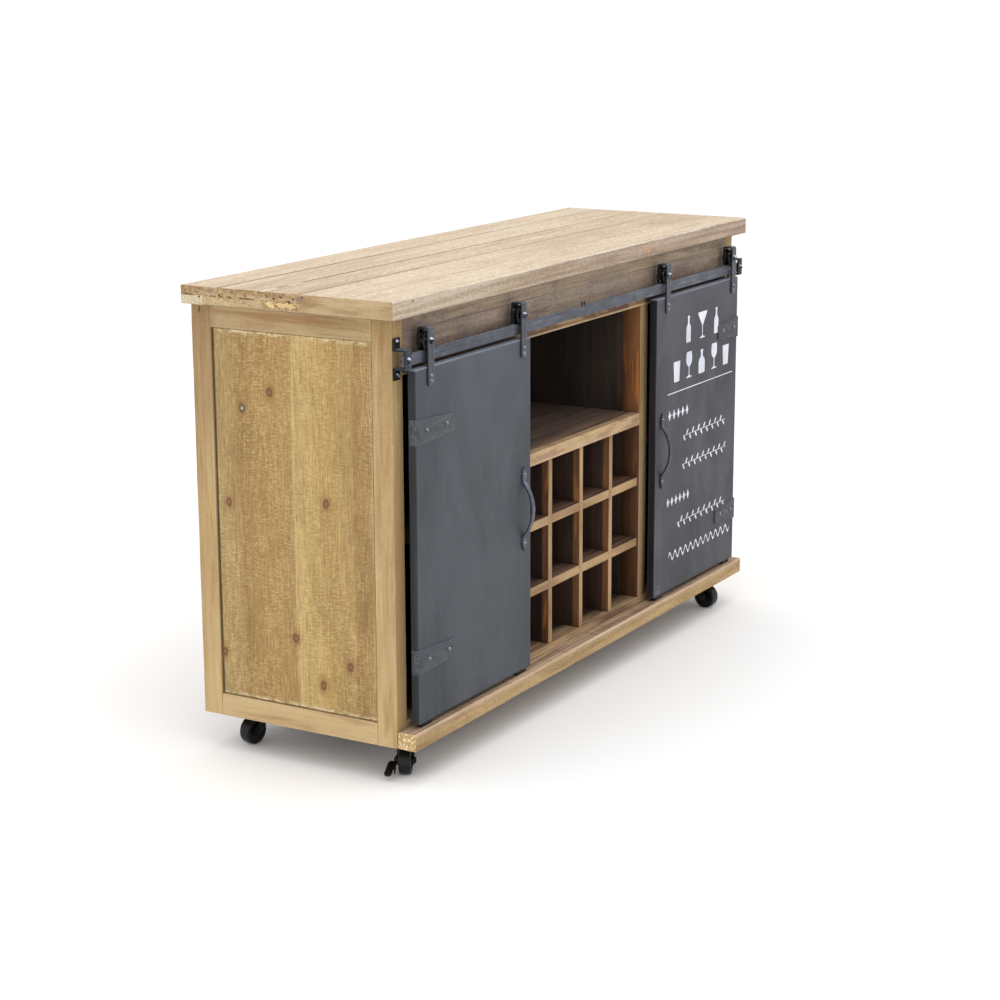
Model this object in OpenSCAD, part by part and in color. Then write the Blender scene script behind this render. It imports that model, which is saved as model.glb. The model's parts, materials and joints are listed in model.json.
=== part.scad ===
// Rolling bar cabinet: plank top, two barn doors on a flat track, a bottle rack between
// them, and four swivel casters. Millimetres, +Z up, +Y towards the back.
// The origin is on the floor, in the middle of the whole object.

/* [Overall] */
// Length of the tabletop
top_length = 1400; // [1200:10:1600]
// Depth of the tabletop, front to back
top_depth = 431; // [420:1:480]
// Height of the tabletop above the floor
overall_height = 842; // [800:1:900]
// Height of the casters, floor to the underside of the body
caster_height = 66; // [66:1:80]

/* [Tabletop] */
// Thickness of the top planks
plank_t = 16; // [12:0.5:20]
// Thickness of the cleats glued under the planks
cleat_t = 16; // [12:0.5:20]
// Width of the front cleat
cleat_w = 45; // [40:1:60]
// How far the top stands out beyond each side
side_overhang = 26.8; // [15:0.2:40]
// How far the top stands out beyond the body's front face
front_overhang = 20; // [15:1:30]

/* [Body] */
// Width of the stiles, front to back
stile_w = 40; // [30:1:60]
// Thickness of the side frames
frame_t = 32; // [25:1:40]
// Height of the sides' top rail
top_rail_h = 42; // [30:1:60]
// Height of the sides' bottom rail
bottom_rail_h = 40; // [40:1:60]
// Height of the header board behind the track
header_h = 99; // [90:1:110]
// Width of the opening between the doors
opening_w = 481; // [440:1:500]
// Thickness of the partitions beside that opening
partition_t = 32; // [24:1:40]
// Height of the plinth rail under the doors
plinth_h = 31; // [25:1:31]
// How far the plinth rail stands out beyond the tabletop's edge
plinth_reach = 16.5; // [12:0.5:20]

/* [Rack] */
// Depth from the tabletop's surface down to the centre shelf
shelf_drop = 348; // [320:1:380]
// Thickness of the rack's upright boards
divider_t = 14; // [10:1:18]
// Thickness of the rack's level boards
rack_shelf_t = 17; // [10:1:20]
// Columns of the bottle rack
rack_columns = 4; // [3:1:5]
// Rows of the bottle rack
rack_rows = 3; // [2:1:4]

/* [Doors] */
// Width of each door
door_w = 388.5; // [370:0.5:400]
// Thickness of each door
door_t = 15.5; // [12:0.5:16]
// Height of each door
door_h = 618; // [600:1:618]
// Distance from a tabletop end to the nearer door's outer edge
door_inset = 54; // [50:1:60]

/* [Track] */
// Height of the flat track bar
track_h = 19; // [16:1:22]
// Thickness of the flat track bar
track_t = 5; // [4:0.5:5]
// Outer diameter of the rollers
roller_d = 36.4; // [34:0.2:37]
// Width of the straps and brackets
strap_w = 19; // [14:1:22]

/* [Casters] */
// Diameter of the caster wheels
wheel_d = 50; // [46:1:50]
// Width of the caster wheels
wheel_w = 22; // [16:1:24]
// Distance from the swivel's axis to the wheel's axle, seen from above
trail = 25; // [18:1:26]
// Distance of the swivels from the ends of the base
caster_end_inset = 80; // [60:1:90]
// Distance of the swivels from the front and back edges of the base
caster_inset = 68; // [60:1:75]

/* [Hidden] */
$fn = 48;

fit_gap = 0.05;                     // radial clearance round pins, bolts and screws
joint_gap = 0.2;                    // clearance between boards that only meet
handle_reach = 30;                  // how far the handles stand out beyond the tabletop's edge

// Planes of the body, from the driving dimensions
half_l = top_length / 2;
edge_y = -(top_depth - handle_reach) / 2;     // the tabletop's front edge
back_y = edge_y + top_depth;
side_x = half_l - side_overhang;              // outer face of the side frames
inner_x = side_x - frame_t;                   // inner face of the side frames
face_y = edge_y + front_overhang;             // front face of the body
under_top = overall_height - plank_t - cleat_t;
base_z = caster_height;                       // underside of the body
back_panel_t = 6;
back_inner_y = back_y - back_panel_t - 2;
header_t = 20;
header_z = under_top - header_h;
floor_t = 18;
floor_z = base_z + 43;                        // top of the floor board
opening_x = opening_w / 2;
shelf_z = overall_height - shelf_drop;        // top of the centre shelf
shelf_t = 18;
lip_h = 24;
lip_t = 18;
bay_shelf_z = 400;
partition_panel_t = 18;

// Planes of the doors and the track
door_front_y = edge_y - 8;
door_back_y = door_front_y + door_t;
door_top_z = under_top - 87;
door_bottom_z = door_top_z - door_h;
door_outer_x = half_l - door_inset;
door_inner_x = door_outer_x - door_w;
track_top_z = under_top - 60;
track_x = half_l - 29;
strap_t = 3;
roller_w = 14;
groove_r = roller_d / 2 - 2.5;
groove_w = track_t + 0.8;
roller_gap = 0.3;                             // groove floor to the top of the track
roller_z = track_top_z + groove_r + roller_gap;
bolt_r = 3;
hanger_edges = [46, 27.5];                     // hanger centres from a door's left and right edges
strap_drop = 33;                              // how far a hanger reaches down a door's face
strap_screw_drops = [17, 26.5];               // its two screws, down from the door's top edge

// Casters: name order is front left, front right, rear left, rear right
caster_x = side_x - caster_end_inset;
caster_front_y = edge_y - plinth_reach + caster_inset;
caster_rear_y = back_y - caster_inset;
caster_places = [[-caster_x, caster_front_y, 206], [caster_x, caster_front_y, 262],
                 [-caster_x, caster_rear_y, 172], [caster_x, caster_rear_y, 200]];
axle_z = wheel_d / 2;
axle_r = 3;
plate_t = 2.5;
plate_size = [58, 58];
plate_hole_pitch = 44;
fork_top_z = base_z - 10;
fork_t = 2.5;
fork_gap = wheel_w + 3;
kingpin_r = 5;
fork_head_r = 21;

wood_pale = "burlywood";
wood_honey = "tan";
wood_dark = "saddlebrown";
door_grey = "dimgray";
iron = "darkslategray";

// ---- shared shapes ----

// A box from its low corner to its high corner
module board(lo, hi) {
    translate(lo) cube(hi - lo);
}

// The same shape on the left and on the right
module both_sides() {
    children();
    mirror([1, 0, 0]) children();
}

// A rectangle with round corners
module round_rect(size, r) {
    union() {
        translate([r, 0]) square([size[0] - 2 * r, size[1]]);
        translate([0, r]) square([size[0], size[1] - 2 * r]);
        for (x = [r, size[0] - r], y = [r, size[1] - r]) translate([x, y]) circle(r);
    }
}

// A round-headed screw: the head stands on y = 0 towards -Y, the shank runs towards +Y
module screw_front(head_r, head_h, shank_r, shank_l) {
    cap_r = (head_r * head_r + head_h * head_h) / (2 * head_h);
    union() {
        intersection() {
            translate([0, cap_r - head_h, 0]) sphere(cap_r);
            translate([-cap_r, -2 * head_h, -cap_r]) cube([2 * cap_r, 2 * head_h, 2 * cap_r]);
        }
        rotate([-90, 0, 0]) cylinder(h = shank_l, r = shank_r);
    }
}

// The hole that such a screw's shank sits in
module shank_hole(shank_r, length) {
    rotate([-90, 0, 0]) cylinder(h = length + fit_gap, r = shank_r + fit_gap);
}

// ---- tabletop ----

// Widths of the five planks, from the front edge to the back
plank_widths = [92, 93, 79, 88, 79];
plank_scale = top_depth / 431;

function plank_start(i) = i == 0 ? 0 : plank_start(i - 1) + plank_widths[i - 1] * plank_scale;

module top_plank(i) {
    y0 = edge_y + plank_start(i);
    y1 = edge_y + plank_start(i + 1) - (i < 4 ? joint_gap : 0);
    color(wood_pale) board([-half_l, y0, overall_height - plank_t], [half_l, y1, overall_height]);
}

module top_cleats() {
    z0 = under_top;
    z1 = overall_height - plank_t;
    rear_w = cleat_w - 5;
    color(wood_pale) {
        board([-half_l, edge_y, z0], [half_l, edge_y + cleat_w, z1]);
        board([-half_l, back_y - rear_w, z0], [half_l, back_y, z1]);
        both_sides() board([-half_l, edge_y + cleat_w + joint_gap, z0],
                           [-half_l + cleat_w, back_y - rear_w - joint_gap, z1]);
    }
}

// ---- side frames ----

module stiles(side) {
    x0 = side < 0 ? -side_x : inner_x;
    color(wood_honey) for (y = [face_y, back_y - stile_w])
        translate([x0, y, base_z]) difference() {
            cube([frame_t, stile_w, under_top - base_z]);
            if (y == face_y) for (z = ear_screw_zs)
                translate([side < 0 ? bracket_x_from_frame : frame_t - bracket_x_from_frame,
                           -1, z - base_z]) shank_hole(2, 19);
        }
}

module side_rails() {
    y0 = face_y + stile_w + joint_gap;
    y1 = back_y - stile_w - joint_gap;
    color(wood_honey) both_sides() {
        board([-side_x, y0, under_top - top_rail_h], [-inner_x, y1, under_top]);
        board([-side_x, y0, base_z], [-inner_x, y1, base_z + bottom_rail_h]);
    }
}

// Two boards edge to edge, set back a little inside the frame
module side_panel(side) {
    recess = 3.5;
    thickness = 14;
    gap = 1.2;
    y0 = face_y + stile_w + gap;
    y1 = back_y - stile_w - gap;
    joint_y = y0 + (y1 - y0) * 0.49;
    x0 = side < 0 ? -side_x + recess : side_x - recess - thickness;
    z0 = base_z + bottom_rail_h + gap;
    z1 = under_top - top_rail_h - gap;
    color(wood_honey) {
        board([x0, y0, z0], [x0 + thickness, joint_y - joint_gap, z1]);
        board([x0, joint_y, z0], [x0 + thickness, y1, z1]);
    }
}

// ---- body boards ----

module header_board() {
    color(wood_dark) board([-inner_x + joint_gap, face_y, header_z],
                           [inner_x - joint_gap, face_y + header_t, under_top]);
}

module back_panel() {
    color(wood_dark) board([-inner_x + joint_gap, back_inner_y, base_z],
                           [inner_x - joint_gap, back_inner_y + back_panel_t, under_top]);
}

module floor_board() {
    color(wood_honey) board([-inner_x + joint_gap, face_y, floor_z - floor_t],
                            [inner_x - joint_gap, back_inner_y - joint_gap, floor_z]);
}

// The two long rails under the floor board that the casters screw to
module base_rails() {
    depth = 110;
    z1 = floor_z - floor_t;
    color(wood_honey) difference() {
        for (y = [face_y, back_inner_y - joint_gap - depth])
            board([-inner_x + joint_gap, y, base_z], [inner_x - joint_gap, y + depth, z1]);
        at_casters() at_plate_holes() translate([0, 0, -1])
            cylinder(h = 17, r = 2 + fit_gap);
    }
}

// The moulding along the front of the base, with a rounded upper edge and end
module plinth_rail() {
    r = 4;
    depth = plinth_reach + front_overhang - joint_gap;
    color(wood_honey) intersection() {
        translate([-side_x, edge_y - plinth_reach, base_z])
            rotate([90, 0, 90]) linear_extrude(2 * side_x) union() {
                square([depth, plinth_h - r]);
                translate([r, 0]) square([depth - r, plinth_h]);
                translate([r, plinth_h - r]) circle(r);
            }
        translate([-side_x, edge_y - plinth_reach, base_z - 1]) linear_extrude(plinth_h + 2)
            union() {
                translate([0, r]) square([2 * side_x, depth]);
                translate([r, 0]) square([2 * side_x - 2 * r, depth]);
                for (x = [r, 2 * side_x - r]) translate([x, r]) circle(r);
            }
    }
}

// One upright board of a partition, from its front to its back, notched round the header board
// and the cleats
module partition_board(front, back, thick) {
    notch_x0 = opening_x - 1;
    notch_x1 = opening_x + thick + 1;
    top_z = overall_height - plank_t;
    difference() {
        board([opening_x, front, floor_z + joint_gap],
              [opening_x + thick, back, top_z - joint_gap]);
        board([notch_x0, face_y - 1, header_z - joint_gap],
              [notch_x1, face_y + header_t + joint_gap, top_z]);
        board([notch_x0, face_y - 1, under_top - joint_gap],
              [notch_x1, edge_y + cleat_w + joint_gap, top_z]);
        board([notch_x0, back_y - cleat_w + 5 - joint_gap, under_top - joint_gap],
              [notch_x1, back_y, top_z]);
    }
}

// Posts on both sides of the centre opening
module partition_stiles() {
    color(wood_honey) both_sides() partition_board(face_y, face_y + stile_w, partition_t);
}

// Walls behind those posts, flush with them on the side of the opening
module partition_panels() {
    color(wood_dark) both_sides() partition_board(face_y + stile_w + joint_gap,
        back_inner_y - joint_gap, partition_panel_t);
}

module centre_shelf() {
    w = opening_x - joint_gap;
    color(wood_honey) board([-w, face_y + lip_t + joint_gap, shelf_z - shelf_t],
                            [w, back_inner_y - joint_gap, shelf_z]);
}

module shelf_lip() {
    w = opening_x - joint_gap;
    color(wood_pale) board([-w, face_y, shelf_z - lip_h], [w, face_y + lip_t, shelf_z]);
}

module bay_shelves() {
    x0 = opening_x + partition_panel_t + joint_gap;
    color(wood_honey) both_sides()
        board([-inner_x + joint_gap, face_y + stile_w + joint_gap, bay_shelf_z],
              [-x0, back_inner_y - joint_gap, bay_shelf_z + 18]);
}

// ---- bottle rack: the boards cross in half laps ----

rack_front = face_y + 4;
rack_back = back_inner_y - joint_gap;
rack_half = (rack_front + rack_back) / 2;
rack_top = shelf_z - lip_h - joint_gap;
cell_w = (opening_w - (rack_columns - 1) * divider_t) / rack_columns;
cell_h = (rack_top - floor_z - (rack_rows - 1) * rack_shelf_t) / rack_rows;
lap_gap = 0.15;

function divider_x(i) = -opening_x + i * cell_w + (i - 1) * divider_t;
function rack_shelf_z(i) = floor_z + i * cell_h + (i - 1) * rack_shelf_t;

module rack_dividers() {
    color(wood_honey) difference() {
        for (i = [1 : rack_columns - 1])
            board([divider_x(i), rack_front, floor_z + joint_gap],
                  [divider_x(i) + divider_t, rack_back, rack_top]);
        for (i = [1 : rack_rows - 1])
            board([-opening_x, rack_half - lap_gap, rack_shelf_z(i) - lap_gap],
                  [opening_x, rack_back + 1, rack_shelf_z(i) + rack_shelf_t + lap_gap]);
    }
}

module rack_shelves() {
    w = opening_x - joint_gap;
    color(wood_honey) difference() {
        for (i = [1 : rack_rows - 1])
            board([-w, rack_front, rack_shelf_z(i)],
                  [w, rack_back, rack_shelf_z(i) + rack_shelf_t]);
        for (i = [1 : rack_columns - 1])
            board([divider_x(i) - lap_gap, rack_front - 1, floor_z],
                  [divider_x(i) + divider_t + lap_gap, rack_half + lap_gap, rack_top + 1]);
    }
}

// ---- track ----

bracket_x_from_frame = 11.2;                  // ear screws, from the side frame's outer face
bracket_x = side_x - bracket_x_from_frame;
bracket_reach = 25.5;                         // how far a bracket stands out from the body
bracket_top_z = under_top - 51;
bracket_bottom_z = door_top_z + 1.5;
ear_h = 21;
ear_screw_zs = [bracket_top_z + 11, bracket_bottom_z - 11];
track_y = edge_y;                             // middle of the track's thickness
track_mid_z = track_top_z - track_h / 2;
stop_pin_xs = [-46, -36];
stop_pin_r = 1.8;
stop_pin_h = 8;
stop_pin_depth = 8;

module track_bar() {
    color(iron) difference() {
        board([-track_x, track_y - track_t / 2, track_top_z - track_h],
              [track_x, track_y + track_t / 2, track_top_z]);
        both_sides() translate([bracket_x, track_y - track_t, track_mid_z])
            shank_hole(bolt_r, 2 * track_t);
        for (x = stop_pin_xs) translate([x, track_y, track_top_z - stop_pin_depth])
            cylinder(h = stop_pin_depth + 1, r = stop_pin_r + fit_gap);
    }
}

// A flat strip bent like a hat: two ears on the body, two arms, a web in front of the track
module bracket_profile() {
    web = bracket_top_z - bracket_bottom_z;
    translate([0, -strap_t]) union() {
        square([bracket_reach, strap_t]);
        translate([0, 0]) square([strap_t, web]);
        translate([0, web - strap_t]) square([bracket_reach, strap_t]);
        translate([bracket_reach - strap_t, -ear_h + strap_t]) square([strap_t, ear_h]);
        translate([bracket_reach - strap_t, web - strap_t]) square([strap_t, ear_h]);
    }
}

module track_brackets() {
    color(iron) both_sides() difference() {
        translate([bracket_x - strap_w / 2, face_y - bracket_reach, bracket_bottom_z + strap_t])
            rotate([90, 0, 90]) linear_extrude(strap_w) bracket_profile();
        for (z = ear_screw_zs) translate([bracket_x, face_y - strap_t - 1, z])
            shank_hole(2, strap_t + 2);
        translate([bracket_x, face_y - bracket_reach - 1, track_mid_z])
            shank_hole(bolt_r, strap_t + 2);
    }
}

// The bolts through web and track, each with a nut behind, and the screws in the ears
module track_fasteners() {
    y0 = face_y - bracket_reach;
    shank_l = track_y + track_t / 2 - y0;
    color(iron) both_sides() {
        translate([bracket_x, y0, track_mid_z]) {
            screw_front(6, 3.5, bolt_r, shank_l);
            translate([0, shank_l, 0]) rotate([-90, 0, 0]) cylinder(h = 5, r = 5.5, $fn = 6);
        }
        for (z = ear_screw_zs) translate([bracket_x, face_y - strap_t, z])
            screw_front(4.5, 2.5, 2, strap_t + 17);
    }
}

module track_stop_pins() {
    color(iron) for (x = stop_pin_xs) translate([x, track_y, track_top_z - stop_pin_depth])
        cylinder(h = stop_pin_depth + stop_pin_h, r = stop_pin_r);
}

// ---- doors: side -1 is the left door, side 1 is the right door ----

function door_x0(side) = side < 0 ? -door_outer_x : door_inner_x;
function outer_edge_x(side) = side * door_outer_x;
function handle_x(side) = side * (door_inner_x + 27);
function hanger_xs(side) = [door_x0(side) + hanger_edges[0], door_x0(side) + door_w - hanger_edges[1]];

hinge_zs = [door_top_z - 107, door_top_z - 507];
hinge_lengths = [120, 98];                      // left door, right door
hinge_t = 2;
hinge_root_h = 44;
hinge_tip_h = 31;
hinge_wrap = 13;
hinge_rivet_ds = [[32, 97], [19, 72]];        // rivets, from the door's outer edge
handle_mid_z = door_top_z - 313;
handle_half = 55;                             // half the bow's chord
handle_w = 11;
handle_t = 3;
handle_screw_d = 64;                          // screws, from the handle's middle
leaf_l = 25.5;

module door_screw_places(side) {
    for (x = hanger_xs(side), d = strap_screw_drops)
        translate([x, door_front_y - strap_t, door_top_z - d]) children();
}

module hinge_rivet_places(side) {
    for (z = hinge_zs, d = hinge_rivet_ds[side < 0 ? 0 : 1])
        translate([outer_edge_x(side) - side * d, door_front_y - hinge_t, z]) children();
}

module handle_screw_places(side) {
    for (s = [-1, 1])
        translate([handle_x(side), door_front_y - handle_t, handle_mid_z + s * handle_screw_d])
            children();
}

module door_slab(side) {
    screw_l = 10;
    color(door_grey) difference() {
        board([door_x0(side), door_front_y, door_bottom_z],
              [door_x0(side) + door_w, door_back_y, door_top_z]);
        door_screw_places(side) shank_hole(2, screw_l);
        hinge_rivet_places(side) shank_hole(2, screw_l);
        handle_screw_places(side) shank_hole(2, screw_l);
    }
}

// Tapered plate on the door's face that wraps round its outer edge, with a slot at the fold
module hinge_plate(hinge_l) {
    slot_h = 18;
    r = 3;
    half = hinge_root_h / 2;
    tip = hinge_tip_h / 2;
    difference() {
        union() {
            rotate([90, 0, 0]) linear_extrude(hinge_t) polygon([[0, -half], [r - hinge_l, -tip],
                [-hinge_l, r - tip], [-hinge_l, tip - r], [r - hinge_l, tip], [0, half]]);
            intersection() {
                translate([0, 0, -half]) linear_extrude(hinge_root_h) union() {
                    translate([-1, -hinge_t]) square([1 + hinge_t / 2, hinge_t]);
                    translate([0, -hinge_t / 2]) square([hinge_t, hinge_wrap + hinge_t / 2]);
                    translate([hinge_t / 2, -hinge_t / 2]) circle(hinge_t / 2);
                }
                translate([-2, -hinge_t - 2 * r, -half]) rotate([90, 0, 90]) linear_extrude(10)
                    round_rect([hinge_wrap + hinge_t + 2 * r, hinge_root_h], r);
            }
        }
        translate([-3, -hinge_t - 1, -slot_h / 2]) cube([1.6, hinge_t + 2, slot_h]);
    }
}

module hinge_plates(side) {
    color(iron) difference() {
        for (z = hinge_zs) translate([outer_edge_x(side), door_front_y, z])
            if (side < 0) mirror([1, 0, 0]) hinge_plate(hinge_lengths[0]);
            else hinge_plate(hinge_lengths[1]);
        hinge_rivet_places(side) translate([0, -1, 0]) shank_hole(2, hinge_t + 2);
    }
}

// A bowed strap between two pointed leaves
module door_handle(side) {
    rise = door_front_y - (edge_y - handle_reach);
    bow_r = (handle_half * handle_half + rise * rise) / (2 * rise);
    leaf_half = handle_w * 0.75;
    color(iron) translate([handle_x(side), door_front_y, handle_mid_z]) difference() {
        union() {
            translate([-handle_w / 2, 0, 0]) rotate([90, 0, 90]) linear_extrude(handle_w)
                intersection() {
                    translate([bow_r - rise, 0]) difference() {
                        circle(bow_r, $fn = 96);
                        circle(bow_r - handle_t, $fn = 96);
                    }
                    translate([-rise - 1, -handle_half - 4])
                        square([rise + 1, 2 * handle_half + 8]);
                }
            for (turn = [0, 180]) rotate([0, turn, 0]) translate([0, 0, handle_half - 2])
                rotate([90, 0, 0]) linear_extrude(handle_t) polygon([[-handle_w / 2, 0],
                    [handle_w / 2, 0], [leaf_half, leaf_l * 0.45], [2.5, leaf_l * 0.8],
                    [0, leaf_l], [-2.5, leaf_l * 0.8], [-leaf_half, leaf_l * 0.45]]);
        }
        for (s = [-1, 1]) translate([0, -handle_t - 1, s * handle_screw_d])
            shank_hole(2, handle_t + 2);
    }
}

// An upside-down U over the roller, whose front leg runs down the door's face
module hanger_profile() {
    leg_top = roller_z + roller_d / 2 + 5;
    back_leg_bottom = track_top_z;
    r = 4;
    inner = door_front_y;
    outer = inner - strap_t;
    back_inner = 2 * track_y - door_front_y;
    back_outer = back_inner + strap_t;
    difference() {
        union() {
            translate([outer, door_top_z - strap_drop])
                square([strap_t, leg_top - r - door_top_z + strap_drop]);
            translate([back_inner, back_leg_bottom])
                square([strap_t, leg_top - r - back_leg_bottom]);
            translate([outer + r, leg_top - strap_t])
                square([back_outer - outer - 2 * r, strap_t]);
            for (y = [outer + r, back_outer - r]) translate([y, leg_top - r]) circle(r);
        }
        translate([inner, back_leg_bottom - 50])
            square([back_inner - inner, leg_top - strap_t - back_leg_bottom + 50]);
    }
}

module hangers(side) {
    r = 5;
    color(iron) difference() {
        for (x = hanger_xs(side)) intersection() {
            translate([x - strap_w / 2, 0, 0])
                rotate([90, 0, 90]) linear_extrude(strap_w) hanger_profile();
            translate([x - strap_w / 2, track_y + 30, door_top_z - strap_drop])
                rotate([90, 0, 0]) linear_extrude(60)
                    round_rect([strap_w, strap_drop + under_top - door_top_z + 20], r);
        }
        for (x = hanger_xs(side)) translate([x, track_y - 20, roller_z]) shank_hole(bolt_r, 40);
        door_screw_places(side) translate([0, -1, 0]) shank_hole(2, strap_t + 2);
    }
}

// The bolts that the rollers turn on: domed head in front, nut behind
module roller_bolts(side) {
    y0 = door_front_y - strap_t;
    shank_l = 2 * (track_y - y0);
    color(iron) for (x = hanger_xs(side)) translate([x, y0, roller_z]) {
        screw_front(6, 3.5, bolt_r, shank_l);
        translate([0, shank_l, 0]) rotate([-90, 0, 0]) cylinder(h = 4, r = 5.5, $fn = 6);
    }
}

module door_screws(side) {
    color(iron) {
        door_screw_places(side) screw_front(4.2, 2.4, 2, strap_t + 6.5);
        hinge_rivet_places(side) screw_front(4, 2.4, 2, hinge_t + 7);
        handle_screw_places(side) screw_front(3.6, 2.2, 2, handle_t + 6);
    }
}

// Slim pads under the door's bottom edge that keep it off the plinth rail
module door_glides(side) {
    pad = [34, 9, door_bottom_z - base_z - plinth_h - 0.6];
    color(iron) for (x = [door_x0(side) + 12, door_x0(side) + door_w - 12 - pad[0]])
        translate([x, door_front_y + 3, door_bottom_z - pad[2]]) cube(pad);
}

// ---- rollers ----

module roller(x) {
    face_r = roller_d / 2;
    half = roller_w / 2;
    color("black") translate([x, track_y, roller_z]) rotate([90, 0, 0]) difference() {
        rotate_extrude() polygon([[0, -half], [6, -half], [8, -half + 1.5], [12, -half + 1.5],
            [14, -half], [face_r - 1, -half], [face_r, -half + 1],
            [face_r, -groove_w / 2 - 1.2], [groove_r, -groove_w / 2],
            [groove_r, groove_w / 2], [face_r, groove_w / 2 + 1.2],
            [face_r, half - 1], [face_r - 1, half], [14, half], [12, half - 1.5],
            [8, half - 1.5], [6, half], [0, half]]);
        translate([0, 0, -half - 1]) cylinder(h = roller_w + 2, r = bolt_r + fit_gap);
    }
}

// ---- casters ----

module at_casters() {
    for (place = caster_places) translate([place[0], place[1], base_z]) children();
}

module at_plate_holes() {
    p = plate_hole_pitch / 2;
    for (x = [-p, p], y = [-p, p]) translate([x, y, 0]) children();
}

// Mounting plate with the bearing cup and the kingpin that the fork turns on
module caster_plates() {
    pin_below = 3;
    color(iron) at_casters() difference() {
        union() {
            translate([-plate_size[0] / 2, -plate_size[1] / 2, -plate_t])
                linear_extrude(plate_t) round_rect(plate_size, 6);
            translate([0, 0, -plate_t - 4]) cylinder(h = 4, r1 = 17, r2 = 20);
            translate([0, 0, fork_top_z - base_z - fork_t - pin_below])
                cylinder(h = pin_below + fork_t + 5, r = kingpin_r);
            translate([0, 0, fork_top_z - base_z - fork_t - pin_below])
                cylinder(h = pin_below - 0.4, r = kingpin_r + 3);
        }
        at_plate_holes() translate([0, 0, -plate_t - 1])
            cylinder(h = plate_t + 2, r = 2 + fit_gap);
    }
}

module caster_screws() {
    color(iron) at_casters() at_plate_holes() translate([0, 0, -plate_t])
        rotate([90, 0, 0]) screw_front(4, 2.2, 2, plate_t + 15);
}

// Turns the caster's own frame (wheel trailing along +X) to its place on the base
module caster_frame(i) {
    translate([caster_places[i][0], caster_places[i][1], 0])
        rotate([0, 0, caster_places[i][2]]) children();
}

// A round head that carries two cheeks down to the axle
module caster_fork(i) {
    cheek_r = 9;
    head_r = fork_head_r;
    color(iron) caster_frame(i) difference() {
        union() {
            translate([0, 0, fork_top_z - fork_t]) cylinder(h = fork_t, r = head_r);
            translate([0, 0, fork_top_z]) cylinder(h = 3, r1 = 19, r2 = 16);
            for (s = [-1, 1]) translate([0, s * (fork_gap + fork_t) / 2, 0])
                rotate([90, 0, 0]) linear_extrude(fork_t, center = true) union() {
                    polygon([[-11, fork_top_z - fork_t / 2], [15, fork_top_z - fork_t / 2],
                        [20, fork_top_z - 8], [trail + cheek_r * 0.85, axle_z + cheek_r * 0.5],
                        [trail - cheek_r * 0.85, axle_z - cheek_r * 0.5]]);
                    translate([trail, axle_z]) circle(cheek_r);
                }
        }
        translate([0, 0, fork_top_z - fork_t - 1])
            cylinder(h = fork_t + 5, r = kingpin_r + fit_gap);
        translate([trail, -30, axle_z]) rotate([-90, 0, 0]) cylinder(h = 60, r = axle_r + fit_gap);
    }
}

// Axle bolt: domed head on one cheek, hexagon nut on the other; a longer one carries the brake
module caster_axle(i, brake_w = 0) {
    half = fork_gap / 2 + fork_t;
    color(iron) caster_frame(i) translate([trail, -half - brake_w, axle_z]) {
        screw_front(6, 3, axle_r, 2 * half + brake_w);
        translate([0, 2 * half + brake_w, 0]) rotate([-90, 0, 0])
            cylinder(h = 3.5, r = 5.5, $fn = 6);
    }
}

module caster_wheel(i) {
    half = wheel_w / 2;
    edge = 4;
    hub_r = 8;
    hub_half = fork_gap / 2 - 0.4;
    color("black") caster_frame(i) translate([trail, 0, axle_z]) rotate([90, 0, 0]) difference() {
        rotate_extrude($fn = 96) union() {
            translate([0, -hub_half]) square([hub_r, 2 * hub_half]);
            translate([0, -half + 3]) square([wheel_d / 2 - 6, wheel_w - 6]);
            translate([wheel_d / 2 - 9, -half]) square([9 - edge, wheel_w]);
            translate([wheel_d / 2 - edge, -half + edge]) square([edge, wheel_w - 2 * edge]);
            for (y = [-half + edge, half - edge])
                translate([wheel_d / 2 - edge, y]) circle(edge, $fn = 32);
        }
        translate([0, 0, -hub_half - 1]) cylinder(h = 2 * hub_half + 2, r = axle_r + fit_gap);
    }
}

// Side lever on the axle bolt, with its pedal sloping out past the wheel
brake_t = 2.5;
brake_room = brake_t + 0.6;
brake_slope = 22;

module caster_brake(i) {
    arm = 40;
    boss_r = 8;
    y0 = -fork_gap / 2 - fork_t - 0.3;
    color(iron) caster_frame(i) translate([trail, y0, axle_z]) rotate([0, brake_slope, 0])
        difference() {
            union() {
                rotate([90, 0, 0]) linear_extrude(brake_t) union() {
                    circle(boss_r);
                    translate([0, -5]) square([arm - 8, 10]);
                }
                translate([15, -7.5, 5 - brake_t]) rotate([0, 0, -9]) linear_extrude(brake_t)
                    union() {
                        circle(6.6);
                        translate([0, -6.6]) square([arm - 14, 13.2]);
                        translate([arm - 14, 0]) circle(6.6);
                    }
            }
            translate([0, 1, 0]) rotate([90, 0, 0]) cylinder(h = 30, r = axle_r + fit_gap);
        }
}

top_plank(0);  // top_plank_1
top_plank(1);  // top_plank_2
top_plank(2);  // top_plank_3
top_plank(3);  // top_plank_4
top_plank(4);  // top_plank_5
top_cleats();
stiles(-1);  // left_stiles
side_panel(-1);  // left_side_panel
stiles(1);  // right_stiles
side_panel(1);  // right_side_panel
side_rails();
header_board();
back_panel();
floor_board();
base_rails();
plinth_rail();
partition_stiles();
partition_panels();
centre_shelf();
shelf_lip();
rack_dividers();
rack_shelves();
bay_shelves();
track_bar();
track_brackets();
track_fasteners();
track_stop_pins();
caster_plates();
caster_screws();
door_slab(-1);  // left_door
hinge_plates(-1);  // left_hinge_plates
door_handle(-1);  // left_handle
hangers(-1);  // left_hangers
roller_bolts(-1);  // left_roller_bolts
door_screws(-1);  // left_door_screws
door_glides(-1);  // left_door_glides
door_slab(1);  // right_door
hinge_plates(1);  // right_hinge_plates
door_handle(1);  // right_handle
hangers(1);  // right_hangers
roller_bolts(1);  // right_roller_bolts
door_screws(1);  // right_door_screws
door_glides(1);  // right_door_glides
roller(hanger_xs(-1)[0]);  // left_outer_roller
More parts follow.
